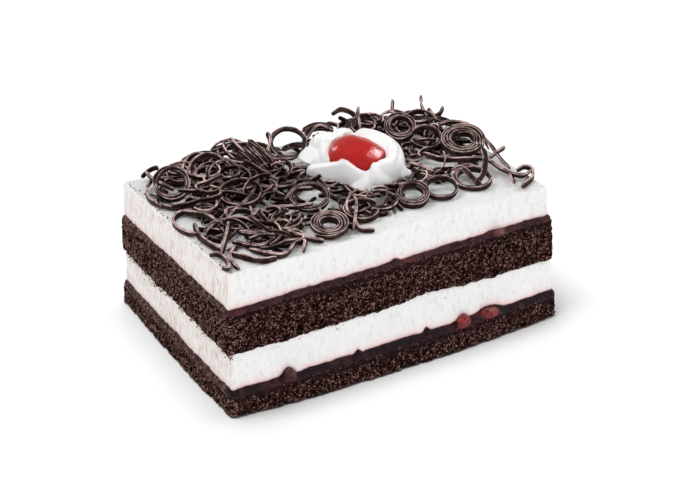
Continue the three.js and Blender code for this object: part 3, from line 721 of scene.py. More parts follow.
def build_block():
    """The six layers. Each replaces its own solid."""
    skins = {"sponge": sponge_material(), "filling": filling_material(), "cream": cream_material()}
    # Each layer's name, lower and upper line, step between its points round the block, and rows up it.
    plans = [
        ("sponge_bottom", "ground", "lowFillingFoot", 0.26, 26, sponge_relief(3)),
        ("filling_bottom", "lowFillingFoot", "lowFillingTop", 0.3, 11, filling_relief(5, LOW_REDS, LOW_DIM)),
        ("cream_middle", "lowFillingTop", "middleCreamTop", 0.5, 26, cream_relief(7)),
        ("sponge_top", "middleCreamTop", "highFillingFoot", 0.26, 50, sponge_relief(11)),
        ("filling_top", "highFillingFoot", "highFillingTop", 0.3, 9, filling_relief(13, HIGH_REDS, 0.0)),
    ]
    for name, *plan in plans:
        points, faces, values = build_layer(*plan)
        slot = name.split("_")[0]
        Mesh(points, faces, **values).piece(name + "_skin", skins[slot], slot, name)
    build_cream_top(skins["cream"])
    build_crumbs()


# How far the top is rounded off and drops at its rim.
TOP_ROUND = 0.8
TOP_DROP = 0.25
TOP_CLOSING = (0.004, 0.01, 0.018, 0.03, 0.045) + tuple(np.linspace(0.07, 0.97, 30))
# Left, right, front and back of the top, to tell how near its rim a place is.
TOP_BOX = (-54.6, 52.2, -34.4, 34.8)


def build_cream_top(cream):
    """The upper cream, with a softly rounded rim and a spread, slightly uneven top."""
    points, faces, values = build_layer("highFillingTop", "top", 0.5, 26, cream_relief(17),
                                        TOP_ROUND, TOP_CLOSING)
    x, y, z = points.T
    level = cream_top(x, y)
    sides = np.abs(values["stain_and_reflection"]) + np.abs(values["left"]) > 0
    left, right, front, back = TOP_BOX
    edge = np.min([x - left, right - x, y - front, back - y], axis=0)
    swell = uneven(points * (1, 1, 0), TOP_SWELLS) * smooth(0, 4, edge)
    spread = level + swell - TOP_DROP * smooth(1.2, 0, edge)
    points[:, 2] = np.where((z > level - 1.0) & ~sides & (edge > 0.2), spread, z)
    Mesh(points, faces, **values).piece("cream_top_skin", cream, "cream", "cream_top")


# Where crumbs lie: which face of the block, and how many.
CRUMBS = {"left_edge": (3, 60), "left_faces": (3, 190), "front_faces": (0, 16)}
CRUMB_SIZE = (0.10, 0.27)
CRUMB_AWAY = 0.8


def build_crumbs():
    """Crumbs that fell on the rim of the top and stick to the cream under the upper sponge."""
    draw = random.Random(41)
    outline = Outline(0.5)
    rim = outline.at(outline.line("top"), CREAM_OUT)
    under_sponge = outline.line("middleCreamTop") - 0.2
    way = ball(7, 4)
    made = Mesh()
    for place, (face, count) in CRUMBS.items():
        for _ in range(count):
            size = draw.uniform(*CRUMB_SIZE)
            step = draw.choice(np.flatnonzero(outline.face == face).tolist())
            away = draw.expovariate(1 / CRUMB_AWAY)
            if place == "left_edge":
                x, y = rim[step, 0] + 0.6 + min(away, 4), rim[step, 1]
                at = np.array([x, y, float(cream_top(x, y)) + 0.4 * size])
            else:
                at = outline.at(under_sponge - away, CREAM_OUT + 0.05)[step]
            stretch = np.array([draw.uniform(0.6, 1.2) for _ in range(3)])
            lumps = 0.7 + 0.6 * noise(way.reshape(-1, 3) + at, 0.7, 5).reshape(way.shape[:2])
            made.add(*closed_tube(at + way * size * stretch * lumps[..., None]))
    made.piece("crumbs", loose_crumb_material(), "sponge")


# ---- the cherry and the pieces of cherry ----

# Pieces of cherry in the front cut: place, half sizes, darker and lighter colour.
CHERRY_PIECES = {
    "left": ((20.6, -36.9, 8.4), (2.2, 2.0, 2.3), (0.090, 0.011, 0.011), (0.34, 0.040, 0.036)),
    "right": ((30.4, -36.8, 8.6), (3.1, 2.0, 1.8), (0.070, 0.009, 0.009), (0.30, 0.036, 0.033)),
    "far_left": ((-37, -37.1, 9.6), (1.6, 1.6, 1.1), (0.026, 0.007, 0.006), (0.095, 0.026, 0.018)),
    "upper": ((33, -35.0, 33.7), (2.1, 1.3, 0.9), (0.050, 0.012, 0.012), (0.13, 0.036, 0.034)),
}
# The wrinkled patch of the whole cherry: its bearing and its angle up, in degrees.
WRINKLES_AT = (12, 44)
# How deep the patch is dented and its folds go, as shares of the radius.
DENT_DEPTH = 0.17
FOLD_DEPTH = 0.07
CHERRY_FOOT = -3.2
CHERRY_SLUMP = ((0.02, 0.9, 9), (0.02, 0.3, 8))


def build_cherry_pieces():
    """The pieces of cherry in the front cut: lumpy, half sunk in the filling."""
    way = ball(44, 26)
    flat = way.reshape(-1, 3)
    for seed, (place, (at, size, dark, light)) in enumerate(CHERRY_PIECES.items()):
        name = "cherry_piece_" + place
        lumps = 0.50 * noise(flat, 0.75, seed + 3) + 0.08 * noise(flat, 0.3, seed + 6)
        rings = np.array(at) + way * np.array(size) * (0.72 + lumps.reshape(way.shape[:2]))[..., None]
        red = cherry_piece_material(name + "_flesh", dark, light)
        Mesh(*closed_tube(rings)).piece(name + "_flesh", red, "cherry_piece", name)


def build_cherry():
    """The whole glazed cherry: almost round, slumped, with a wrinkled patch behind its right shoulder."""
    way = ball(128, 84)
    flat = way.reshape(-1, 3)
    turn, tilt = (math.radians(angle) for angle in WRINKLES_AT)
    patch = np.array([math.cos(turn) * math.cos(tilt), math.sin(turn) * math.cos(tilt), math.sin(tilt)])
    near = smooth(0.62, 0.99, flat @ patch)
    folds = np.abs(np.sin(11 * flat[:, 0] + 17 * flat[:, 1] + 5 * swing(flat, 0.35, 5)))
    radius = 1 + uneven(flat, CHERRY_SLUMP) - FOLD_DEPTH * near * (1 - folds) - DENT_DEPTH * near
    local = flat * CHERRY_SIZE * radius[:, None] * 0.995
    local[:, 2] = np.maximum(local[:, 2], CHERRY_FOOT)
    points, faces = closed_tube((local + CHERRY_AT).reshape(way.shape))
    # The wrinkles' crests, where the painted highlight goes.
    wrinkle = np.concatenate([near * folds, [0, 0]])
    Mesh(points, faces, wrinkle=wrinkle).piece("cherry_whole", cherry_material(), "cherry", "cherry")


# ---- the rosette ----

# The piped ring round the cherry, at angles in degrees: height of the lip at the cherry, height and
# radius of the crest, and radius of the outer wall. Heights are over the cream.
RING = [
    (0, 8.8, 9.2, 10.4, 13.2),
    (30, 9.2, 9.6, 10.2, 13.2),
    (56, 9.0, 9.7, 10.4, 13.4),
    (71, 8.6, 8.6, 9.6, 11.6),
    (84, 8.8, 9.8, 11.2, 14.2),
    (98, 8.4, 9.0, 11.0, 13.6),
    (112, 8.4, 9.4, 12.0, 15.0),
    (124, 8.0, 8.8, 11.4, 14.4),
    (138, 7.8, 7.8, 10.4, 13.2),
    (156, 7.4, 6.8, 9.6, 11.4),
    (172, 7.2, 6.4, 9.0, 9.4),
    (188, 7.2, 6.6, 8.6, 8.8),
    (199, 8.0, 7.8, 8.6, 9.5),
    (214, 7.8, 7.4, 8.6, 9.8),
    (230, 6.7, 6.3, 8.6, 10.0),
    (246, 5.0, 5.0, 8.5, 10.2),
    (257, 4.7, 4.9, 8.7, 10.4),
    (268, 6.2, 6.6, 9.2, 11.0),
    (280, 7.2, 7.8, 9.6, 11.4),
    (296, 6.8, 7.8, 10.0, 12.0),
    (320, 7.8, 8.6, 10.4, 13.0),
]
# Petals: angle at the root and at the tip in degrees, reach, height of the crest and of the tip,
# half width, how blunt the tip is, how steep the sides are, where the crest lies across it from -1
# to 1, and the height of its underside.
PETALS = [
    (138, 132, 19.8, 7.6, 6.4, 5.2, 0.2, 0.0, -0.7, 3.4),
    (192, 165, 16.4, 6.9, 5.2, 3.0, 0.97, 0.75, 0.7, 2.2),
    (248, 241, 13.6, 5.6, 0.9, 5.2, 0.1, 0.0, 0.35, 0.0),
    (276, 278, 12.6, 7.6, 2.6, 5.0, 0.4, 0.3, -0.4, 0.0),
    (318, 321, 15.6, 8.0, 2.6, 3.8, 0.1, 0.1, 0.0, 0.8),
    (338, 350, 14.2, 8.4, 5.0, 5.6, 0.8, 0.5, 0.0, 0.0),
    (8, 22, 14.6, 9.2, 5.6, 5.8, 0.8, 0.5, 0.0, 0.0),
    (46, 54, 14.4, 9.6, 6.4, 4.6, 0.8, 0.5, 0.0, 0.0),
    (84, 86, 16.4, 10.0, 8.2, 4.4, 0.85, 0.7, 0.0, 0.0),
    (112, 110, 18.2, 9.6, 8.4, 5.4, 0.9, 0.8, 0.2, 0.0),
]
PETAL_ROOT = 8.6
ROSETTE_VOXEL = 0.24
# The ring's lip lies this far inside the cherry, and further in where the wrinkled patch dents it.
CHERRY_SUNK = 0.7
DENT_FILLED = 2.2
# The rosette's solid middle under the cherry: heights over the cream, and radii.
MIDDLE = ((0, 8.6), (3.4, 8.2))
OVER_CREAM = 0.3
# How far the drag lines, soft folds and fine lines of the rosette stand out.
DRAG_LINES = 0.3
SOFT_FOLDS = 0.22
FINE_LINES = 0.05


def round_table(rows, degrees):
    """The columns of a table by angle, smooth all the way round."""
    table = np.array(rows, float)
    knots = np.concatenate([table[-3:, 0] - 360, table[:, 0], table[:3, 0] + 360])
    values = np.concatenate([table[-3:, 1:], table[:, 1:], table[:3, 1:]])
    fine = np.arange(-30, 390, 1.0)
    weights = np.exp(-0.5 * (np.arange(-15, 16) / 2.6) ** 2)
    weights /= weights.sum()
    columns = []
    for column in values.T:
        eased = np.convolve(np.interp(fine, knots, column), weights, "same")
        columns.append(np.interp(degrees, fine, eased))
    return columns


def by_rosette(radius, angle, aside, height):
    """Places at a radius and angle round the rosette's middle, then aside, square to the radius."""
    x = ROSETTE_AT[0] + radius * np.cos(angle) - np.sin(angle) * aside
    y = ROSETTE_AT[1] + radius * np.sin(angle) + np.cos(angle) * aside
    return np.stack(np.broadcast_arrays(x, y, height), axis=-1)


def ring_rings(floor):
    """Rings of the piped ring: its section at even steps of angle."""
    degrees = np.linspace(0, 360, 240, endpoint=False)
    lip, crest, crest_radius, outer = round_table(RING, degrees)
    drop = (floor + lip - CHERRY_AT[2]) / CHERRY_SIZE[2]
    dented = np.clip(np.cos(np.radians(degrees - WRINKLES_AT[0])), 0, 1) ** 4
    at_cherry = CHERRY_SIZE[0] * np.sqrt(np.clip(1 - drop ** 2, 0.05, 1)) - CHERRY_SUNK - DENT_FILLED * dented
    section = [(at_cherry - 1.5, 0 * lip), (at_cherry, lip * 0.6), (at_cherry, lip)]
    for f in np.linspace(0.25, 1, 4):
        height = lerp(lip, crest, math.sin(f * math.pi / 2)) + 0.15 * math.sin(math.pi * f)
        section.append((lerp(at_cherry, crest_radius, f), height))
    for f in np.linspace(0.15, 1, 9):
        turn = f * math.pi / 2
        section.append((lerp(crest_radius, outer, math.sin(turn) ** 0.9), crest * math.cos(turn) ** 0.7))
    radius, height = np.array(section).transpose(1, 0, 2)
    return by_rosette(radius, np.radians(degrees), 0, floor + height).transpose(1, 0, 2)


def petal_rings(root, tip, reach, crest, tip_height, half_width, blunt, steep, shift, under, floor):
    """Rings of one petal, from its root under the cherry to its tip."""
    across = np.linspace(-1, 1, 25)
    slope = lerp(1.1, 4.5, steep)
    ease = lerp(1.0, 0.45, steep)
    from_crest = np.where(across < shift, (shift - across) / (1 + shift), (across - shift) / (1 - shift))
    profile = np.clip(1 - from_crest ** slope, 0, 1) ** ease
    rings = []
    for f in np.sin(np.linspace(0, math.pi / 2, 40)):
        angle = math.radians(lerp(root, tip, f ** 0.8))
        radius = lerp(PETAL_ROOT, reach, f)
        taper = max(1 - f ** lerp(1.7, 7, blunt), 0.01) ** lerp(0.8, 0.5, blunt)
        height = lerp(crest, tip_height, f ** 1.4) * taper ** lerp(0.35, 0.6, blunt)
        low = min(under * smooth(0.1, 0.5, f), 0.7 * height)
        aside = half_width * taper * lerp(0.8, 1, math.sin(math.pi * min(f * 1.3, 1) / 2)) * across
        top = np.stack([aside, low + (height - low) * profile], axis=1)
        foot = np.stack([aside[::-4] * 0.86, np.full(len(aside[::-4]), low * 0.9)], axis=1)
        section = np.concatenate([top, foot])
        rings.append(by_rosette(radius, angle, section[:, 0], floor + section[:, 1]))
    return np.array(rings)


def build_rosette():
    """Ring, petals and middle fused into one skin by a voxel remesh, relaxed, with drag lines."""
    floor = float(cream_top(*ROSETTE_AT)) + OVER_CREAM
    ring = ring_rings(floor)
    made = Mesh(ring.reshape(-1, 3), tube_faces(*ring.shape[:2], endless=True))
    turn = np.linspace(0, 2 * np.pi, 48, endpoint=False)
    middle = [by_rosette(radius, turn, 0, floor + height) for height, radius in MIDDLE]
    made.add(*closed_tube(np.array(middle)))
    for row in PETALS:
        made.add(*closed_tube(petal_rings(*row, floor)))
    piece = made.piece("rosette_swirl", piped_material(), "piped_cream", "rosette")
    apply_modifier(piece, "REMESH", mode="VOXEL", voxel_size=ROSETTE_VOXEL * MM, use_smooth_shade=True)
    apply_modifier(piece, "SMOOTH", factor=0.5, iterations=2)
    finish_rosette(piece.data, floor)


def finish_rosette(data, floor):
    """Sits the fused rosette on the sloping cream, and adds its drag lines and soft folds, its red stain near
    the cherry, which is partly a painted reflection of the cherry, and painted shade low down.
    """
    places = vectors(data.vertices, "co") / MM - SHIFT
    normals = vectors(data.vertex_normals, "vector")
    level = cream_top(places[:, 0], places[:, 1])
    up = np.clip((places[:, 2] - floor) / 4, 0, 1)
    places[:, 2] += lerp(level + OVER_CREAM - floor, 0, up)
    away = places[:, :2] - ROSETTE_AT
    angle = np.arctan2(away[:, 1], away[:, 0])
    radius = np.linalg.norm(away, axis=1)
    height = places[:, 2] - level
    lip = round_table(RING, np.degrees(angle) % 360)[0]
    near = np.linalg.norm((places - CHERRY_AT) / CHERRY_SIZE, axis=1) + 0.08 * swing(places, 2.5, 3)
    undented = 1 - np.clip(np.cos(angle - math.radians(WRINKLES_AT[0])), 0, 1)
    # Pink near the cherry: a juice stain and a painted red reflection of the cherry.
    keep_numbers(data, "stain_and_reflection", smooth(1.09, 1.01, near) * undented * smooth(-1.2, -0.2, height - lip))
    # Painted shade: greyer low down where the rosette's sides are steep.
    keep_numbers(data, "low", smooth(6.0, 0.5, height) * smooth(0.7, 0.1, normals[:, 2]))
    ringed = smooth(-75, -50, np.degrees(angle)) * smooth(135, 110, np.degrees(angle))
    drag = np.sin(radius * 2.6 + angle * 2.4 + 1.5 * noise(places, 6, 9)) * smooth(9.5, 11, radius) * ringed
    fine = np.sin(radius * 5 + 4 * noise(places, 5, 13)) * ringed
    relief = DRAG_LINES * drag + SOFT_FOLDS * swing(places, 3.4, 21) + FINE_LINES * fine
    places += normals * relief[:, None]
    data.vertices.foreach_set("co", ((places + SHIFT) * MM).ravel())
    data.update()


def apply_modifier(piece, kind, **settings):
    """Adds a modifier with these settings and makes its result the piece's own mesh."""
    modifier = piece.modifiers.new(kind.lower(), kind)
    for key, value in settings.items():
        setattr(modifier, key, value)
    bpy.context.view_layer.objects.active = piece
    bpy.ops.object.modifier_apply(modifier=modifier.name)


def vectors(items, key):
    """One vector for each item of a mesh."""
    values = np.empty(len(items) * 3)
    items.foreach_get(key, values)
    return values.reshape(-1, 3)


# ---- the chocolate shavings ----

STRAND_THICKNESS = 0.8
STRAND_BAND = 1.75
REST = 0.1
# The bearing in degrees that named coils rise towards: away from the photographed side.
COIL_BEARING = 60

# Coils: middle x, y and height over the cream, outer and inner radius, turns,
# start and lean in degrees, band, thickness.
COILS = [
    (-18.8, -26.8, 2.6, 5.4, 2, 4.2, 200, 13, 2.3, 0.5),
    (11.5, -22.2, 2.8, 4.9, 2.9, 2.7, 150, 20, 2.3, 0.5),
    (21.6, -21.4, 2.2, 5, 4.2, 1.3, 80, 14, 1.9, 0.8),
    (33.6, -20.4, 1.8, 5.5, 4.7, 1.2, 100, 10, 1.9, 0.8),
    (-15.2, -8.9, 3, 6.1, 4.5, 2.1, 210, 12, 1.8, 0.6),
    (-46.8, 15.2, 5.4, 5.5, 3.8, 2.1, 20, 42, 2.3, 0.6),
    (-31.4, 1.9, 3.8, 5.8, 5.4, 1, 330, 14, 1.7, 0.8),
    (-38.6, -11, 2.2, 5, 4.5, 0.9, 20, 6, 1.7, 0.8),
    (-26.5, -17, 1.9, 4.6, 3.8, 0.8, 60, 8, 1.7, 0.8),
    (-14.3, 11.1, 3.8, 4.2, 3.8, 0.8, 200, 16, 1.9, 0.8),
    (31.3, 16.4, 5.2, 5.1, 2.9, 2.8, 40, 30, 2.3, 0.5),
    (42.1, -1.9, 5.2, 6.8, 3, 4.4, 300, 17, 2.4, 0.5),
    (35.2, 8, 4, 4.8, 4.4, 0.85, 170, 18, 1.8, 0.8),
    (40, 18.4, 4.4, 4.8, 4.4, 0.8, 330, 20, 1.8, 0.8),
    (-4.2, 23.8, 5.2, 5.3, 5.1, 1.08, 250, 34, 1.9, 1.1),
    (-5.6, -22.4, 1.9, 5.2, 4.5, 0.9, 10, 8, 1.8, 0.8),
    (2.4, -19.6, 1.8, 4.6, 4.1, 1, 190, 8, 1.7, 0.8),
    (-32, 17.6, 3.4, 5.6, 5, 0.8, 60, 14, 1.7, 0.8),
    (-23, 8.4, 2.8, 5.2, 4.4, 1, 240, 12, 1.7, 0.8),
    (-39.6, 24.6, 3.4, 4.6, 3.8, 0.9, 300, 16, 1.7, 0.8),
    (23.6, 25.4, 4.2, 4.2, 3.4, 1, 30, 24, 1.7, 0.8),
]

# Strands: how far each is turned about its own length in radians, then its places from end to end,
# each x, y and height over the cream.
STRANDS = [
    (0, [(-54, -23.8, 1), (-52.1, -24.8, 1.2), (-51.5, -28.5, 1.2), (-52.3, -32, 1),
        (-53.4, -33.6, 0.9), (-54.4, -32.4, 0.9)]),
    (0.2, [(-45.7, -23.4, 1.2), (-49.4, -27.4, 1.2), (-50.8, -32.2, 1), (-50.6, -34.8, 0.9)]),
    (-0.3, [(-48.6, -26.4, 1.1), (-44, -33.6, 0.9), (-39.4, -34.8, 0.9)]),
    (0, [(-45.9, 4.1, 1.2), (-50, 4, 1), (-53.4, 0.6, 0.9), (-54.2, -4.4, 0.9), (-53.2, -8.6, 1),
        (-51.4, -10.8, 1.1)]),
    (0.1, [(-48.8, 3.6, 1.4), (-44.8, -4.6, 2.4), (-45.2, -15, 2)]),
    (-0.4, [(-49.6, -5, 1.4), (-51.6, -14, 1.2), (-50.2, -24.4, 1.2)]),
    (-0.4, [(-51, -25.6, 1.6), (-43, -13.8, 3.2), (-40, -6.4, 3.4), (-36.2, -4.7, 3)]),
    (0, [(-43.6, 30.4, 2.4), (-50, 25.4, 1.6), (-53.2, 16.4, 1.1), (-50, 7.6, 1.4), (-44.6, 3.6, 2.4)]),
    (-0.1, [(-41.9, -17.8, 2.2), (-33.7, -22.8, 2)]),
    (0.4, [(-45.5, -20.6, 1.4), (-40.1, -26.6, 1.3), (-33.1, -24, 1.6)]),
    (0.2, [(-43.4, -27, 1.2), (-37.3, -34, 1), (-30.8, -29.6, 1.3)]),
    (0.1, [(-34.6, -28.2, 1.6), (-28.4, -29.6, 1.2), (-31.2, -34.6, 0.9)]),
    (0.3, [(-29.8, -23, 1.6), (-26.3, -29.6, 1.2), (-23.6, -32.4, 1.1)]),
    (1.2, [(45.5, -7.9, 4.2), (41.7, -14.8, 3.8), (36.2, -21.5, 3.2), (31.6, -24.8, 2.4)]),
    (-1.1, [(32.5, -12.1, 2.6), (33.1, -16.5, 3.2), (32.5, -21.5, 2.8), (32.6, -25.6, 2)]),
    (0.3, [(44.6, -12.7, 3), (48.2, -11.2, 3.4), (52.2, -9.9, 3.6)]),
    (0.5, [(40.1, -10.3, 3.4), (43.4, -14, 3), (44.4, -18.7, 2), (47.2, -25, 1.4), (52.4, -23.5, 1.2)]),
    (0.2, [(48.7, -21.3, 1.4), (51.4, -21.1, 1.8), (52.6, -23.5, 1.6), (50, -27.2, 1), (43.6, -30.9, 0.9)]),
    (0.7, [(45.3, -17.6, 1.8), (45.9, -21.3, 1.4), (43.4, -27.2, 0.9)]),
    (0.4, [(36.1, 13.1, 4), (40.6, 11.2, 5.4), (45.9, 10.4, 6), (49.6, 7, 5.6), (50.7, 1, 4.6),
        (48, -7.3, 3.4)]),
    (-0.1, [(29.4, -0.1, 3), (31.9, -6.4, 3), (41, -12.4, 3.2)]),
    (-0.1, [(21.5, -10.6, 2), (24, -14.6, 1.8), (28.6, -15.2, 1.6)]),
    (0.6, [(8.4, -12.8, 1.4), (15.4, -13.4, 1.8), (20.4, -15.4, 1.8)]),
    (-0.1, [(-3.4, -12.8, 2.6), (-6.4, -20.6, 3.2), (-13.4, -31.2, 1.6)]),
    (0, [(-10, -26.1, 1.2), (-11.2, -31, 1), (-8, -33.4, 0.9)]),
    (0.4, [(-33.3, -12, 2.8), (-28, -9, 3), (-24.1, -13.2, 2.6)]),
    (-0.4, [(-32.4, -5.2, 2.4), (-35.7, -14.9, 2)]),
    (-0.6, [(-8, 2.2, 2), (-15.4, 3.4, 2.6), (-23, 0.6, 2.4)]),
    (0, [(-20.4, 30.2, 8.2), (-20, 27, 6.6), (-18.6, 23.4, 4.6)]),
    (-0.2, [(-9.4, 27.6, 8.4), (-9.8, 25, 6.8), (-13.8, 20.4, 4)]),
    (0.1, [(45.4, 26.6, 9), (43.8, 23.7, 7), (43, 16.4, 2)]),
    (0.5, [(37.8, 31.4, 7.6), (35.4, 27.6, 5.4), (33.4, 20.8, 5.2)]),
    (0.1, [(49.5, 20.1, 6.6), (46.7, 17.8, 5.8), (45.3, 19, 5), (44.8, 21.6, 6.6)]),
    (-0.5, [(15.8, 32, 7.4), (19.6, 32.4, 8), (22.6, 29.8, 6.4), (21.4, 25, 4)]),
    (-0.2, [(24.6, 30.8, 8.2), (22.4, 27, 6), (20.4, 22, 2)]),
    (0.3, [(-49.6, 27.6, 5), (-48.4, 23.6, 3.4), (-44.6, 19, 1.4)]),
    (0.6, [(2.6, 26.6, 2), (9.6, 29.4, 5.8), (15.6, 24.8, 2)]),
    (-0.1, [(-41, 16, 2), (-36, 24.8, 5.4), (-28.4, 26.8, 5.8), (-23.6, 19, 2)]),
    (0.1, [(-39.4, 27.4, 2.4), (-32, 30.4, 5.4), (-24, 25, 2.4)]),
    (0.9, [(50.2, 0.3, 5), (48.6, -7.3, 4.6), (47.5, -13.3, 3.2), (47.3, -19.4, 1.6)]),
    (0.9, [(31.3, -12.4, 2), (34, -13.2, 3), (36.4, -14.3, 3.2), (37.8, -16.9, 2.6)]),
    (0.6, [(23, -2.6, 2.4), (24.4, -7, 2.6), (26, -10.9, 2)]),
    (-0.6, [(21.8, -6, 2), (22.6, -10.1, 2), (27.5, -10.1, 2)]),
    (-0.8, [(-21.8, 12.7, 4.6), (-24.7, 5.2, 4.4), (-31.1, -1.6, 3.6), (-39.4, -6.9, 2.8),
        (-43.2, -12, 2.2)]),
    (0.9, [(-41.2, -17.7, 2.2), (-39.1, -20.6, 2.4), (-35.7, -21.7, 2.2)]),
    (0.3, [(-22, -7.2, 3), (-17.2, -4.3, 3.8), (-11.9, -5.4, 3.6)]),
    (0.4, [(-30.5, -11.3, 2.4), (-26.6, -11.1, 3.2), (-21.3, -13, 3), (-15.9, -12.5, 2.4)]),
]

# Bundles of fine shavings: places along the middle, half width, the bearing of the width in degrees
# and its rise, and how many shavings.
BUNDLES = [
    ([(-16.2, 30.0, 5.2), (-17.8, 22.9, 6.6), (-17.7, 17.3, 6.2), (-16.9, 14.5, 4.6), (-15.6, 13.4, 2.4)],
     2.4, -1, 0.89, 12),
    ([(-20.6, 28.6, 4.0), (-21.6, 22.4, 5.6), (-21.0, 17.2, 4.8), (-19.6, 14.0, 2.4)], 1.3, 10, 0.5, 5),
    ([(-13.4, 27.8, 4.4), (-13.8, 22.2, 5.4), (-13.0, 17.6, 4.4), (-12.0, 15.0, 2.2)], 1.1, -20, 0.6, 4),
    ([(-52.6, 9.8, 1.4), (-50.6, 14.6, 2.0), (-46.8, 20.4, 2.4)], 1.5, 150, 0.6, 5),
    ([(3.4, 29.6, 4.2), (9.2, 30.4, 5.2), (15.4, 27.4, 4.6)], 1.9, 70, 0.3, 6),
    ([(-37.4, 29.8, 3.6), (-30.6, 30.8, 4.6), (-24.4, 29.4, 4.2)], 1.8, 80, 0.35, 6),
    ([(-28.6, 30.6, 4.4), (-20.6, 30.4, 5.2), (-14.2, 27.6, 4.2)], 1.4, 80, 0.35, 5),
    ([(17.6, 28.4, 4.6), (22.6, 27.4, 5.2), (27.6, 25.4, 4.6)], 1.8, 80, 0.3, 6),
    ([(38.2, 22.4, 4.2), (43.8, 18.2, 5.0), (47.4, 11.4, 4.4)], 1.3, 40, 0.2, 5),
    ([(-6.2, 25.4, 2.2), (-1.4, 26.2, 2.8), (3.2, 25.6, 2.4)], 1.1, 70, 0.3, 4),
]
BUNDLE_BAND = 0.85
BUNDLE_THICKNESS = 0.55

# Places of the heap's outline in plan, all the way round.
HEAP = np.array([
    (-50.5, 30.5), (-51.5, 17), (-50.5, 5), (-49.5, -8), (-49.5, -18), (-45, -24.5), (-36, -30),
    (-25, -29), (-15, -30), (-7, -27), (2, -25.5), (9, -26), (19, -26), (31, -25.5), (37, -20),
    (40, -13.5), (44.5, -9), (49, -3), (51, 7), (50, 18), (47, 28), (38, 32.5), (16, 33.2),
    (-8, 33.2), (-30, 33.2), (-44, 33),
])
# Where the cream shows between the shavings: x, y and radius.
BARE = [
    (-44.6, 18.6, 3.2), (-48.6, 24.6, 2.0), (-51.0, -1.0, 3.6), (-36.6, -6.0, 2.6), (-0.6, 31.6, 3.4),
    (-6.6, 22.4, 3.0), (-11.6, -3.4, 3.0), (-18.4, -24.4, 2.6), (33.4, -4.2, 4.4), (34.8, -17.4, 3.6),
    (22.8, -18.6, 2.8), (13.4, -18.8, 2.2), (5.6, -10.2, 2.0), (-32.8, 22.8, 2.2), (41.6, 15.4, 2.2),
    (-43.4, -19.4, 2.0), (-28.2, -5.6, 1.8), (-3.0, -27.0, 1.8),
]
CURLS = 210
LONG_CURLS = 45
SHARDS = 460
MOST_TRIES = 9000


def rosette_edge(angle):
    """How far the rosette's foot reaches at an angle in radians."""
    degrees = np.degrees(angle) % 360
    edge = round_table(RING, degrees)[3]
    for _, tip, reach, _, _, half_width, blunt, *_ in PETALS:
        apart = np.abs((degrees - tip + 180) % 360 - 180)
        spread = math.degrees(half_width / reach) * lerp(0.75, 1.15, blunt)
        edge = np.maximum(edge, reach * (1 - 0.32 * np.clip(apart / spread, 0, 3) ** 2))
    return edge


def off_rosette(points):
    """Distance in plan from the rosette's foot, below zero inside it."""
    away = points[:, :2] - ROSETTE_AT
    return np.linalg.norm(away, axis=1) - rosette_edge(np.arctan2(away[:, 1], away[:, 0]))


def bearing_way(degrees):
    """The level direction at a bearing."""
    return math.cos(math.radians(degrees)), math.sin(math.radians(degrees))


def spiral_path(x, y, height, radius, inner, turns, start, lean, band, bearing=COIL_BEARING, step=0.55):
    """Points along a coil, clear of the cream under it, and the coil's axis."""
    length = 2 * math.pi * turns * (radius + inner) / 2
    f = np.linspace(0, 1, max(8, int(length / step)))
    angle = math.radians(start) + 2 * math.pi * turns * f
    reach = lerp(radius, inner, f) * (1 + 0.02 * np.sin(angle * 2.3 + x))
    dx, dy = reach * np.cos(angle), reach * np.sin(angle)
    slope = math.tan(math.radians(lean))
    shorter = math.cos(math.radians(lean))
    toward = bearing_way(bearing)
    along = dx * toward[0] + dy * toward[1]
    dx, dy = dx - along * (1 - shorter) * toward[0], dy - along * (1 - shorter) * toward[1]
    half_band = band / 2 * shorter + REST
    middle = float(cream_top(x, y)) + max(height, slope * shorter * radius * 0.86 + half_band)
    rise = slope * shorter * along + 0.15 * np.sin(angle * 1.7 + y)
    lowest = cream_top(x + dx, y + dy) + half_band
    path = np.stack([x + dx, y + dy, np.maximum(middle + rise, lowest)], axis=1)
    return path, unit(np.array([-slope * toward[0], -slope * toward[1], 1.0]))


def strand_path(places, step=0.6, lowest=STRAND_BAND / 2 + REST):
    """A smooth curve through the places of a strand."""
    knots = np.array([(x, y, float(cream_top(x, y)) + max(z, lowest)) for x, y, z in places])
    padded = np.concatenate([[2 * knots[0] - knots[1]], knots, [2 * knots[-1] - knots[-2]]])
    path = []
    for k in range(1, len(padded) - 2):
        a, b, c, d = padded[k - 1:k + 3]
        count = max(2, int(np.linalg.norm(c - b) / step))
        for t in np.arange(count) / count:
            path.append(0.5 * (2 * b + (c - a) * t + (2 * a - 5 * b + 4 * c - d) * t ** 2
                               + (3 * b - a - 3 * c + d) * t ** 3))
    path.append(knots[-1])
    return np.array(path)


# Sections of a shaving: across its thickness, across its band, and how pale it is there. The pale is partly
# scraped chocolate and partly painted highlight; the upper rim is painted paler than the lower, as lit from
# above.
SECTION = np.array([
    (1.00, -0.80, 0.08), (0.86, -0.42, 0.0), (0.98, 0.0, 0.05), (0.86, 0.42, 0.0), (1.00, 0.80, 0.22),
    (0.74, 1.0, 0.9), (0.0, 0.92, 0.08), (-0.74, 1.0, 1.0),
    (-1.00, 0.80, 0.22), (-0.86, 0.42, 0.0), (-0.98, 0.0, 0.05), (-0.86, -0.42, 0.0), (-1.00, -0.80, 0.08),
    (-0.74, -1.0, 0.3), (0.0, -0.92, 0.05), (0.74, -1.0, 0.3),
])
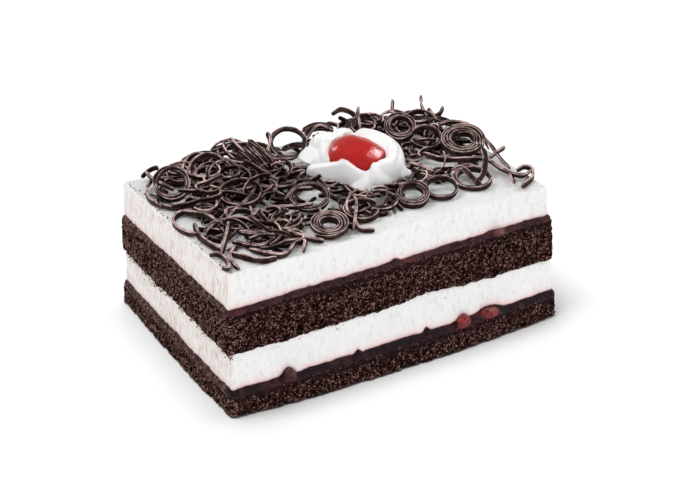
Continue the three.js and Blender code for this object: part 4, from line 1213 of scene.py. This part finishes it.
# A coil's inner rim gets no painted highlight and stays dark, as painted shade between its turns, so that its
# turns show one by one.
COIL_SECTION = SECTION.copy()
COIL_SECTION[4:7, 2] = (0.05, 0.15, 0.0)
PLAIN_SECTION = np.array([
    (1.0, -0.6, 0.0), (0.9, 0.0, 0.0), (1.0, 0.6, 0.1), (0.6, 1.0, 0.8), (-0.6, 1.0, 0.8),
    (-1.0, 0.6, 0.1), (-0.9, 0.0, 0.0), (-1.0, -0.6, 0.0), (-0.6, -1.0, 0.2), (0.6, -1.0, 0.2),
])
END_PALE = 0.25
UPRIGHT = np.array([0.0, 0.0, 1.0])
# Painted shade where the heap is deepest: its shavings' pale edges are dimmed there. Place in plan, radius
# and by how much.
DEEP_AT = np.array([-23.0, 5.0])
DEEP_RADIUS = 17.0
DEEP_SHADE = 0.5


def add_ribbon(mesh, path, normal, band, thickness, seed, section=SECTION, pale=1.0, turn=0.0):
    """A shaving along a path: a thin band whose width stands along the normal."""
    count = len(path)
    if count < 4:
        return
    along = unit(np.gradient(path, axis=0))
    side = unit(np.cross(np.broadcast_to(normal, path.shape), along))
    up = unit(np.cross(along, side))
    f = np.linspace(0, 1, count)
    places = path * 0.8 + seed * 3.1
    width = band * (0.94 + 0.2 * swing(places, 2.0, seed))
    width *= 0.75 + 0.25 * smooth(0, 0.07, f) * smooth(1, 0.93, f)
    thick = thickness * (0.97 + 0.3 * swing(places, 1.6, seed + 1))
    thick *= 0.65 + 0.35 * smooth(0, 0.1, f) * smooth(1, 0.9, f)
    twist = (turn + 0.5 * swing(places, 6.0, seed + 2))[:, None]
    across = (side * np.cos(twist) + up * np.sin(twist)) * thick[:, None] / 2
    upward = (up * np.cos(twist) - side * np.sin(twist)) * width[:, None] / 2
    rings = path[:, None] + across[:, None] * section[None, :, :1] + upward[:, None] * section[None, :, 1:2]
    points, faces = closed_tube(rings)
    edge = np.concatenate([np.tile(section[:, 2], count), [END_PALE, END_PALE]])
    own = 0.68 + 0.6 * hashed(np.array([(seed, 1, 1)]), 5)[0]
    # Painted shade: the pale edges are dimmed where the heap is deepest.
    deep = smooth(DEEP_RADIUS, DEEP_RADIUS / 2, np.hypot(*(path[:, :2] - DEEP_AT).T))
    shaded = 1 - DEEP_SHADE * np.concatenate([np.repeat(deep, len(section)), deep[[0, -1]]])
    mesh.add(points, faces, edge=edge * pale * own * shaded)


def add_bundle(mesh, path, width, half_width, count, seed):
    """Fine shavings lying side by side, some shorter than others, each wandering a little."""
    f = np.linspace(0, 1, len(path))
    over = unit(np.cross(width, unit(np.gradient(path, axis=0))))
    for k in range(count):
        wander = np.column_stack([3.5 * f, np.full(len(f), 1.7 * k), np.full(len(f), 0.5)])
        aside = half_width * ((2 * k + 1) / count - 1 + 0.5 * swing(wander, 1, seed))
        lift = 1.1 * swing(wander, 1, seed + 1)
        first, left_out = (int(0.22 * len(f) * noise(wander[:1], 1, seed + end)[0]) for end in (2, 3))
        line = path + width * aside[:, None] + over * lift[:, None]
        add_ribbon(mesh, line[first:len(f) - left_out], width, BUNDLE_BAND, BUNDLE_THICKNESS,
                   seed + 10 + k, PLAIN_SECTION)


def clear_stretch(path, clear=0.5, loose=False):
    """The longest stretch of a path that stays clear of the rosette; a loose one also lies low beside it."""
    away = off_rosette(path)
    outside = away > clear
    if loose:
        outside &= path[:, 2] - cream_top(path[:, 0], path[:, 1]) < 1.0 + 0.5 * away
    ends = np.flatnonzero(np.diff([0, *outside, 0]))
    length, start = max(zip(ends[1::2] - ends[::2], ends[::2]), default=(0, 0))
    return path[start:start + length]


def heap_depth(points):
    """How far inside the heap's outline each place lies, in millimetres, below zero outside it."""
    start, end = HEAP, np.roll(HEAP, -1, axis=0)
    side = end - start
    away = points[:, None, :2] - start
    f = np.clip((away * side).sum(2) / (side * side).sum(1), 0, 1)
    distance = np.linalg.norm(away - f[..., None] * side, axis=2).min(1)
    x, y = points[:, None, 0], points[:, None, 1]
    crossed = (start[:, 1] > y) != (end[:, 1] > y)
    height = np.where(np.abs(side[:, 1]) < 1e-9, 1e-9, side[:, 1])
    inside = (crossed & (x < start[:, 0] + (y - start[:, 1]) / height * side[:, 0])).sum(1) % 2 == 1
    return np.where(inside, distance, -distance)


def lies_free(path, band):
    """Whether a loose shaving keeps out of the bare places and under the named coils."""
    for x, y, radius in BARE:
        if np.hypot(path[:, 0] - x, path[:, 1] - y).min() < radius:
            return False
    toward = bearing_way(COIL_BEARING)
    for x, y, height, radius, _, turns, _, lean, coil_band, _ in COILS:
        if turns < 1.05:
            continue
        away = path[:, :2] - (x, y)
        near = np.linalg.norm(away, axis=1) < radius + 0.8
        rise = math.tan(math.radians(lean)) * (away[:, 0] * toward[0] + away[:, 1] * toward[1])
        under = float(cream_top(x, y)) + height + rise - (coil_band + band) / 2
        if np.any(near & (path[:, 2] > under)):
            return False
    return True


# How high loose shavings may lie over the cream in front and at the back of the heap.
HEAP_HEIGHT = (2.4, 5.2)


def heap_height(depth, x, y):
    """How high the loose shavings may lie over the cream, this deep inside the heap's outline."""
    hollow = 0.75 + 0.5 * float(noise(np.array([(x, y, 0.0)]), 11, 77)[0])
    return lerp(*HEAP_HEIGHT, smooth(-25, 25, y)) * smooth(-1, 7, depth) * hollow


# Loose shavings: the ranges that their sizes are drawn from. Turns are parts of a whole round.
DRAWN_IN = ((-52, 52), (-31, 34))
LONG_RADIUS = (6, 11)
LONG_TURNS = (0.15, 0.42)
LONG_LEAN = 25
SHORT_RADIUS = (2.6, 6.4)
SHORT_TURNS = (0.3, 0.35, 0.4, 0.5, 0.6, 0.8, 1.2)
SHORT_LEAN = 55
CURL_BAND = (1.1, 1.7)
CURL_THICKNESS = (0.5, 0.8)
SHARD_LENGTH = (2.5, 7.0)
SHARD_BAND = (0.8, 1.7)
SHARD_THICKNESS = (0.4, 0.65)
SHARD_LOWEST = 0.45
# Shards' edges are kept dim as painted shade, since they lie low in the heap.
SHARD_PALE = 0.2


def drawn_place(draw):
    """A place in plan and how deep it lies inside the heap's outline."""
    x, y = (draw.uniform(*span) for span in DRAWN_IN)
    return x, y, float(heap_depth(np.array([(x, y)]))[0])


def add_curl(mesh, made, draw):
    """One loose curl; the last ones are long and open. False if it doesn't fit where it was drawn."""
    x, y, depth = drawn_place(draw)
    long_one = made >= CURLS
    radius = draw.uniform(*(LONG_RADIUS if long_one else SHORT_RADIUS))
    turns = draw.uniform(*LONG_TURNS) if long_one else draw.choice(SHORT_TURNS)
    inner = radius * draw.uniform(0.72, 1.0)
    band = draw.uniform(*CURL_BAND)
    lean = draw.uniform(0, 1) ** 2 * (LONG_LEAN if long_one else SHORT_LEAN)
    level = draw.uniform(0.15, 1.0)
    start, bearing = draw.uniform(0, 360), draw.uniform(0, 360)
    if depth < 1:
        return False
    if long_one:
        x -= radius * math.cos(math.radians(start + 180 * turns))
        y -= radius * math.sin(math.radians(start + 180 * turns))
    height = level * heap_height(depth, x, y)
    path, axis = spiral_path(x, y, height, radius, inner, turns, start, lean, band, bearing, 0.7)
    path = clear_stretch(path, loose=True)
    if len(path) < 5 or heap_depth(path).min() < -1.0 or not lies_free(path, band):
        return False
    # Painted shade: the lower a curl lies, the dimmer its pale edges.
    add_ribbon(mesh, path, axis, band, draw.uniform(*CURL_THICKNESS), 301 + made, PLAIN_SECTION,
               pale=lerp(0.2, 1.0, level), turn=draw.uniform(-0.6, 0.6))
    return True


def add_shard(mesh, made, draw):
    """One short piece close to the cream, with dim edges: shards are real bits of chocolate, and their dark
    mat also stands for painted shade over the cream between the shavings. False if it doesn't fit where it
    was drawn.
    """
    x, y, depth = drawn_place(draw)
    turn = draw.uniform(0, 2 * math.pi)
    length = draw.uniform(*SHARD_LENGTH)
    bend = draw.uniform(-0.5, 0.5)
    level, tilt = draw.uniform(0, 0.6) ** 1.5, draw.uniform(-0.3, 0.3)
    if depth < 0.5:
        return False
    height = SHARD_LOWEST + level * heap_height(depth, x, y)
    dx, dy = math.cos(turn) * length / 2, math.sin(turn) * length / 2
    places = [(x - dx, y - dy, height - tilt), (x - dy * bend, y + dx * bend, height + 0.2),
              (x + dx, y + dy, height + tilt)]
    path = clear_stretch(strand_path(places, 0.7, 0.4), loose=True)
    if len(path) < 4 or not lies_free(path, 1.0):
        return False
    # Painted shade: a shard's edges stay dim, and its dark mat shades the cream under it.
    add_ribbon(mesh, path, UPRIGHT, draw.uniform(*SHARD_BAND), draw.uniform(*SHARD_THICKNESS), 701 + made,
               PLAIN_SECTION, pale=SHARD_PALE, turn=draw.uniform(-1.4, 1.4))
    return True


def scattered(count, add_one, draw):
    """A mesh with this many loose shavings, each tried at drawn places until it fits."""
    mesh = Mesh()
    made = 0
    for _ in range(MOST_TRIES):
        if made < count and add_one(mesh, made, draw):
            made += 1
    return mesh


def build_shavings():
    """The heap: named coils, strands and bundles on top, seeded loose curls and shards under them."""
    dark = chocolate_material()
    coils = Mesh()
    for k, (*shape, band, thickness) in enumerate(COILS):
        path, axis = spiral_path(*shape, band)
        add_ribbon(coils, clear_stretch(path), axis, band, thickness, 100 + k, COIL_SECTION)
    strands = Mesh()
    for k, (turn, places) in enumerate(STRANDS):
        path = clear_stretch(strand_path(places), 0.1)
        add_ribbon(strands, path, UPRIGHT, STRAND_BAND, STRAND_THICKNESS, 200 + k, turn=turn)
    bundles = Mesh()
    for k, (places, half_width, bearing, rise, count) in enumerate(BUNDLES):
        width = unit(np.array([*bearing_way(bearing), rise]))
        add_bundle(bundles, strand_path(places, 0.5, 1.0), width, half_width, count, 1000 + 40 * k)
    draw = random.Random(23)
    curls = scattered(CURLS + LONG_CURLS, add_curl, draw)
    shards = scattered(SHARDS, add_shard, draw)
    coils.piece("shavings_coils", dark, "chocolate", "shavings")
    strands.piece("shavings_strands", dark, "chocolate")
    bundles.piece("shavings_bundles", dark, "chocolate")
    curls.piece("shavings_loose_curls", dark, "chocolate")
    shards.piece("shavings_shards", dark, "chocolate")


# ---- stage, lights and camera ----

# The camera that fits the photograph: its bearing, height angle and roll in degrees,
# what it looks at and from how far in millimetres, and its focal length in pixels of a 674-pixel width.
VIEW_BEARING = -30.01
VIEW_HEIGHT = 28.6
VIEW_ROLL = 0.08
VIEW_TARGET = np.array([-0.74, 0.0, 20.66])
VIEW_DISTANCE = 481.58
VIEW_FOCAL = 1600
VIEW_WIDTH = 674
SENSOR = 36
# The floor: half its side in metres, and how pale it is. The world's light falls on it and the cake.
FLOOR_HALF = 3.0
FLOOR_PALE = 0.55
WORLD_LIGHT = 0.36


def build_camera():
    """The photo's camera, turned by its bearing, height angle and roll."""
    bearing, height, roll = (math.radians(a) for a in (VIEW_BEARING, VIEW_HEIGHT, VIEW_ROLL))
    back = np.array([math.sin(bearing) * math.cos(height), -math.cos(bearing) * math.cos(height),
                     math.sin(height)])
    level = np.array([math.cos(bearing), math.sin(bearing), 0])
    over = np.cross(back, level)
    right = math.cos(roll) * level + math.sin(roll) * over
    up = -math.sin(roll) * level + math.cos(roll) * over
    data = bpy.data.cameras.new("camera")
    data.sensor_width = SENSOR
    data.lens = VIEW_FOCAL * SENSOR / VIEW_WIDTH
    place = (VIEW_TARGET + back * VIEW_DISTANCE + SHIFT) * MM
    turned = Matrix([(*row, 0) for row in np.column_stack([right, up, back])] + [(0, 0, 0, 1)])
    camera = placed("camera", data)
    camera.matrix_world = Matrix.Translation(place) @ turned
    bpy.context.scene.camera = camera


def build_floor():
    """White paper under the slice, part of the stage and not of the part."""
    data = bpy.data.meshes.new("floor")
    corners = [(x * FLOOR_HALF, y * FLOOR_HALF, 0) for x, y in ((-1, -1), (1, -1), (1, 1), (-1, 1))]
    data.from_pydata(corners, [], [(0, 1, 2, 3)])
    floor = placed("floor", data)
    paper = Shader("floor_paper", Roughness=0.9, Base_Color=(*(FLOOR_PALE,) * 3, 1), Specular_IOR_Level=0.0)
    data.materials.append(paper.material)
    return floor


def area_light(name, at, size, power, receivers, aim=(0, 0, 0.03)):
    """A square soft light on the receivers alone, in metres and watts."""
    data = bpy.data.lights.new(name, "AREA")
    data.shape = "RECTANGLE"
    data.size, data.size_y = size
    data.energy = power
    light = placed(name, data)
    light.rotation_euler = (Vector(at) - Vector(aim)).to_track_quat("Z", "Y").to_euler()
    light.location = at
    light.light_linking.receiver_collection = receivers
    return light


def only(name, piece, state):
    """A collection that limits lights to this piece, or keeps them off it."""
    made = bpy.data.collections.new(name)
    made.objects.link(piece)
    made.collection_objects[0].light_linking.link_state = state
    return made


# Lights on the cake: place in metres, size in metres, power in watts, and whether it mirrors in the gloss.
CAKE_LIGHTS = {
    "key_top": ((-0.28, 0.22, 0.75), (0.6, 0.5), 2.8, False),
    "fill_front": ((-0.30, -1.00, 0.32), (0.8, 0.5), 4.0, False),
    "box_left": ((-0.80, -0.10, 0.42), (0.4, 0.5), 0.6, False),
    "box_right": ((0.66, -0.20, 0.50), (0.30, 0.34), 2.6, True),
    "rim_back": ((-0.27, 0.80, 0.40), (0.20, 0.26), 1.2, True),
}
# A wide light that only mirrors in the cherry: place, size and power.
CHERRY_GLOSS = ((0.66, -0.24, 0.44), (0.62, 0.62), 9.5)
# Lights on the floor alone, which give it the soft shadows on both sides: place and power.
FLOOR_LIGHTS = {
    "floor_left": ((-1.0, 0.15, 3.0), 108.0),
    "floor_right": ((0.9, 0.15, 3.0), 28.0),
    "floor_back": ((0.1, 0.9, 3.0), 40.0),
}
FLOOR_LIGHT_SIZE = (1.3, 1.3)


def build_lights(floor):
    world = bpy.data.worlds.new("studio")
    world.use_nodes = True
    background = world.node_tree.nodes["Background"].inputs
    background["Color"].default_value = (1, 1, 1, 1)
    background["Strength"].default_value = WORLD_LIGHT
    bpy.context.scene.world = world
    off_floor = only("all_but_floor", floor, "EXCLUDE")
    for name, (at, size, power, mirrored) in CAKE_LIGHTS.items():
        area_light(name, at, size, power, off_floor).visible_glossy = mirrored
    cherry_only = only("cherry_only", bpy.data.objects["cherry_whole"], "INCLUDE")
    area_light("cherry_gloss", *CHERRY_GLOSS, cherry_only).visible_diffuse = False
    floor_only = only("floor_only", floor, "INCLUDE")
    for name, (at, power) in FLOOR_LIGHTS.items():
        area_light(name, at, FLOOR_LIGHT_SIZE, power, floor_only)
    bpy.context.scene.view_settings.view_transform = "Standard"


build_camera()
build_block()
build_cherry_pieces()
build_cherry()
build_rosette()
build_shavings()
build_lights(build_floor())
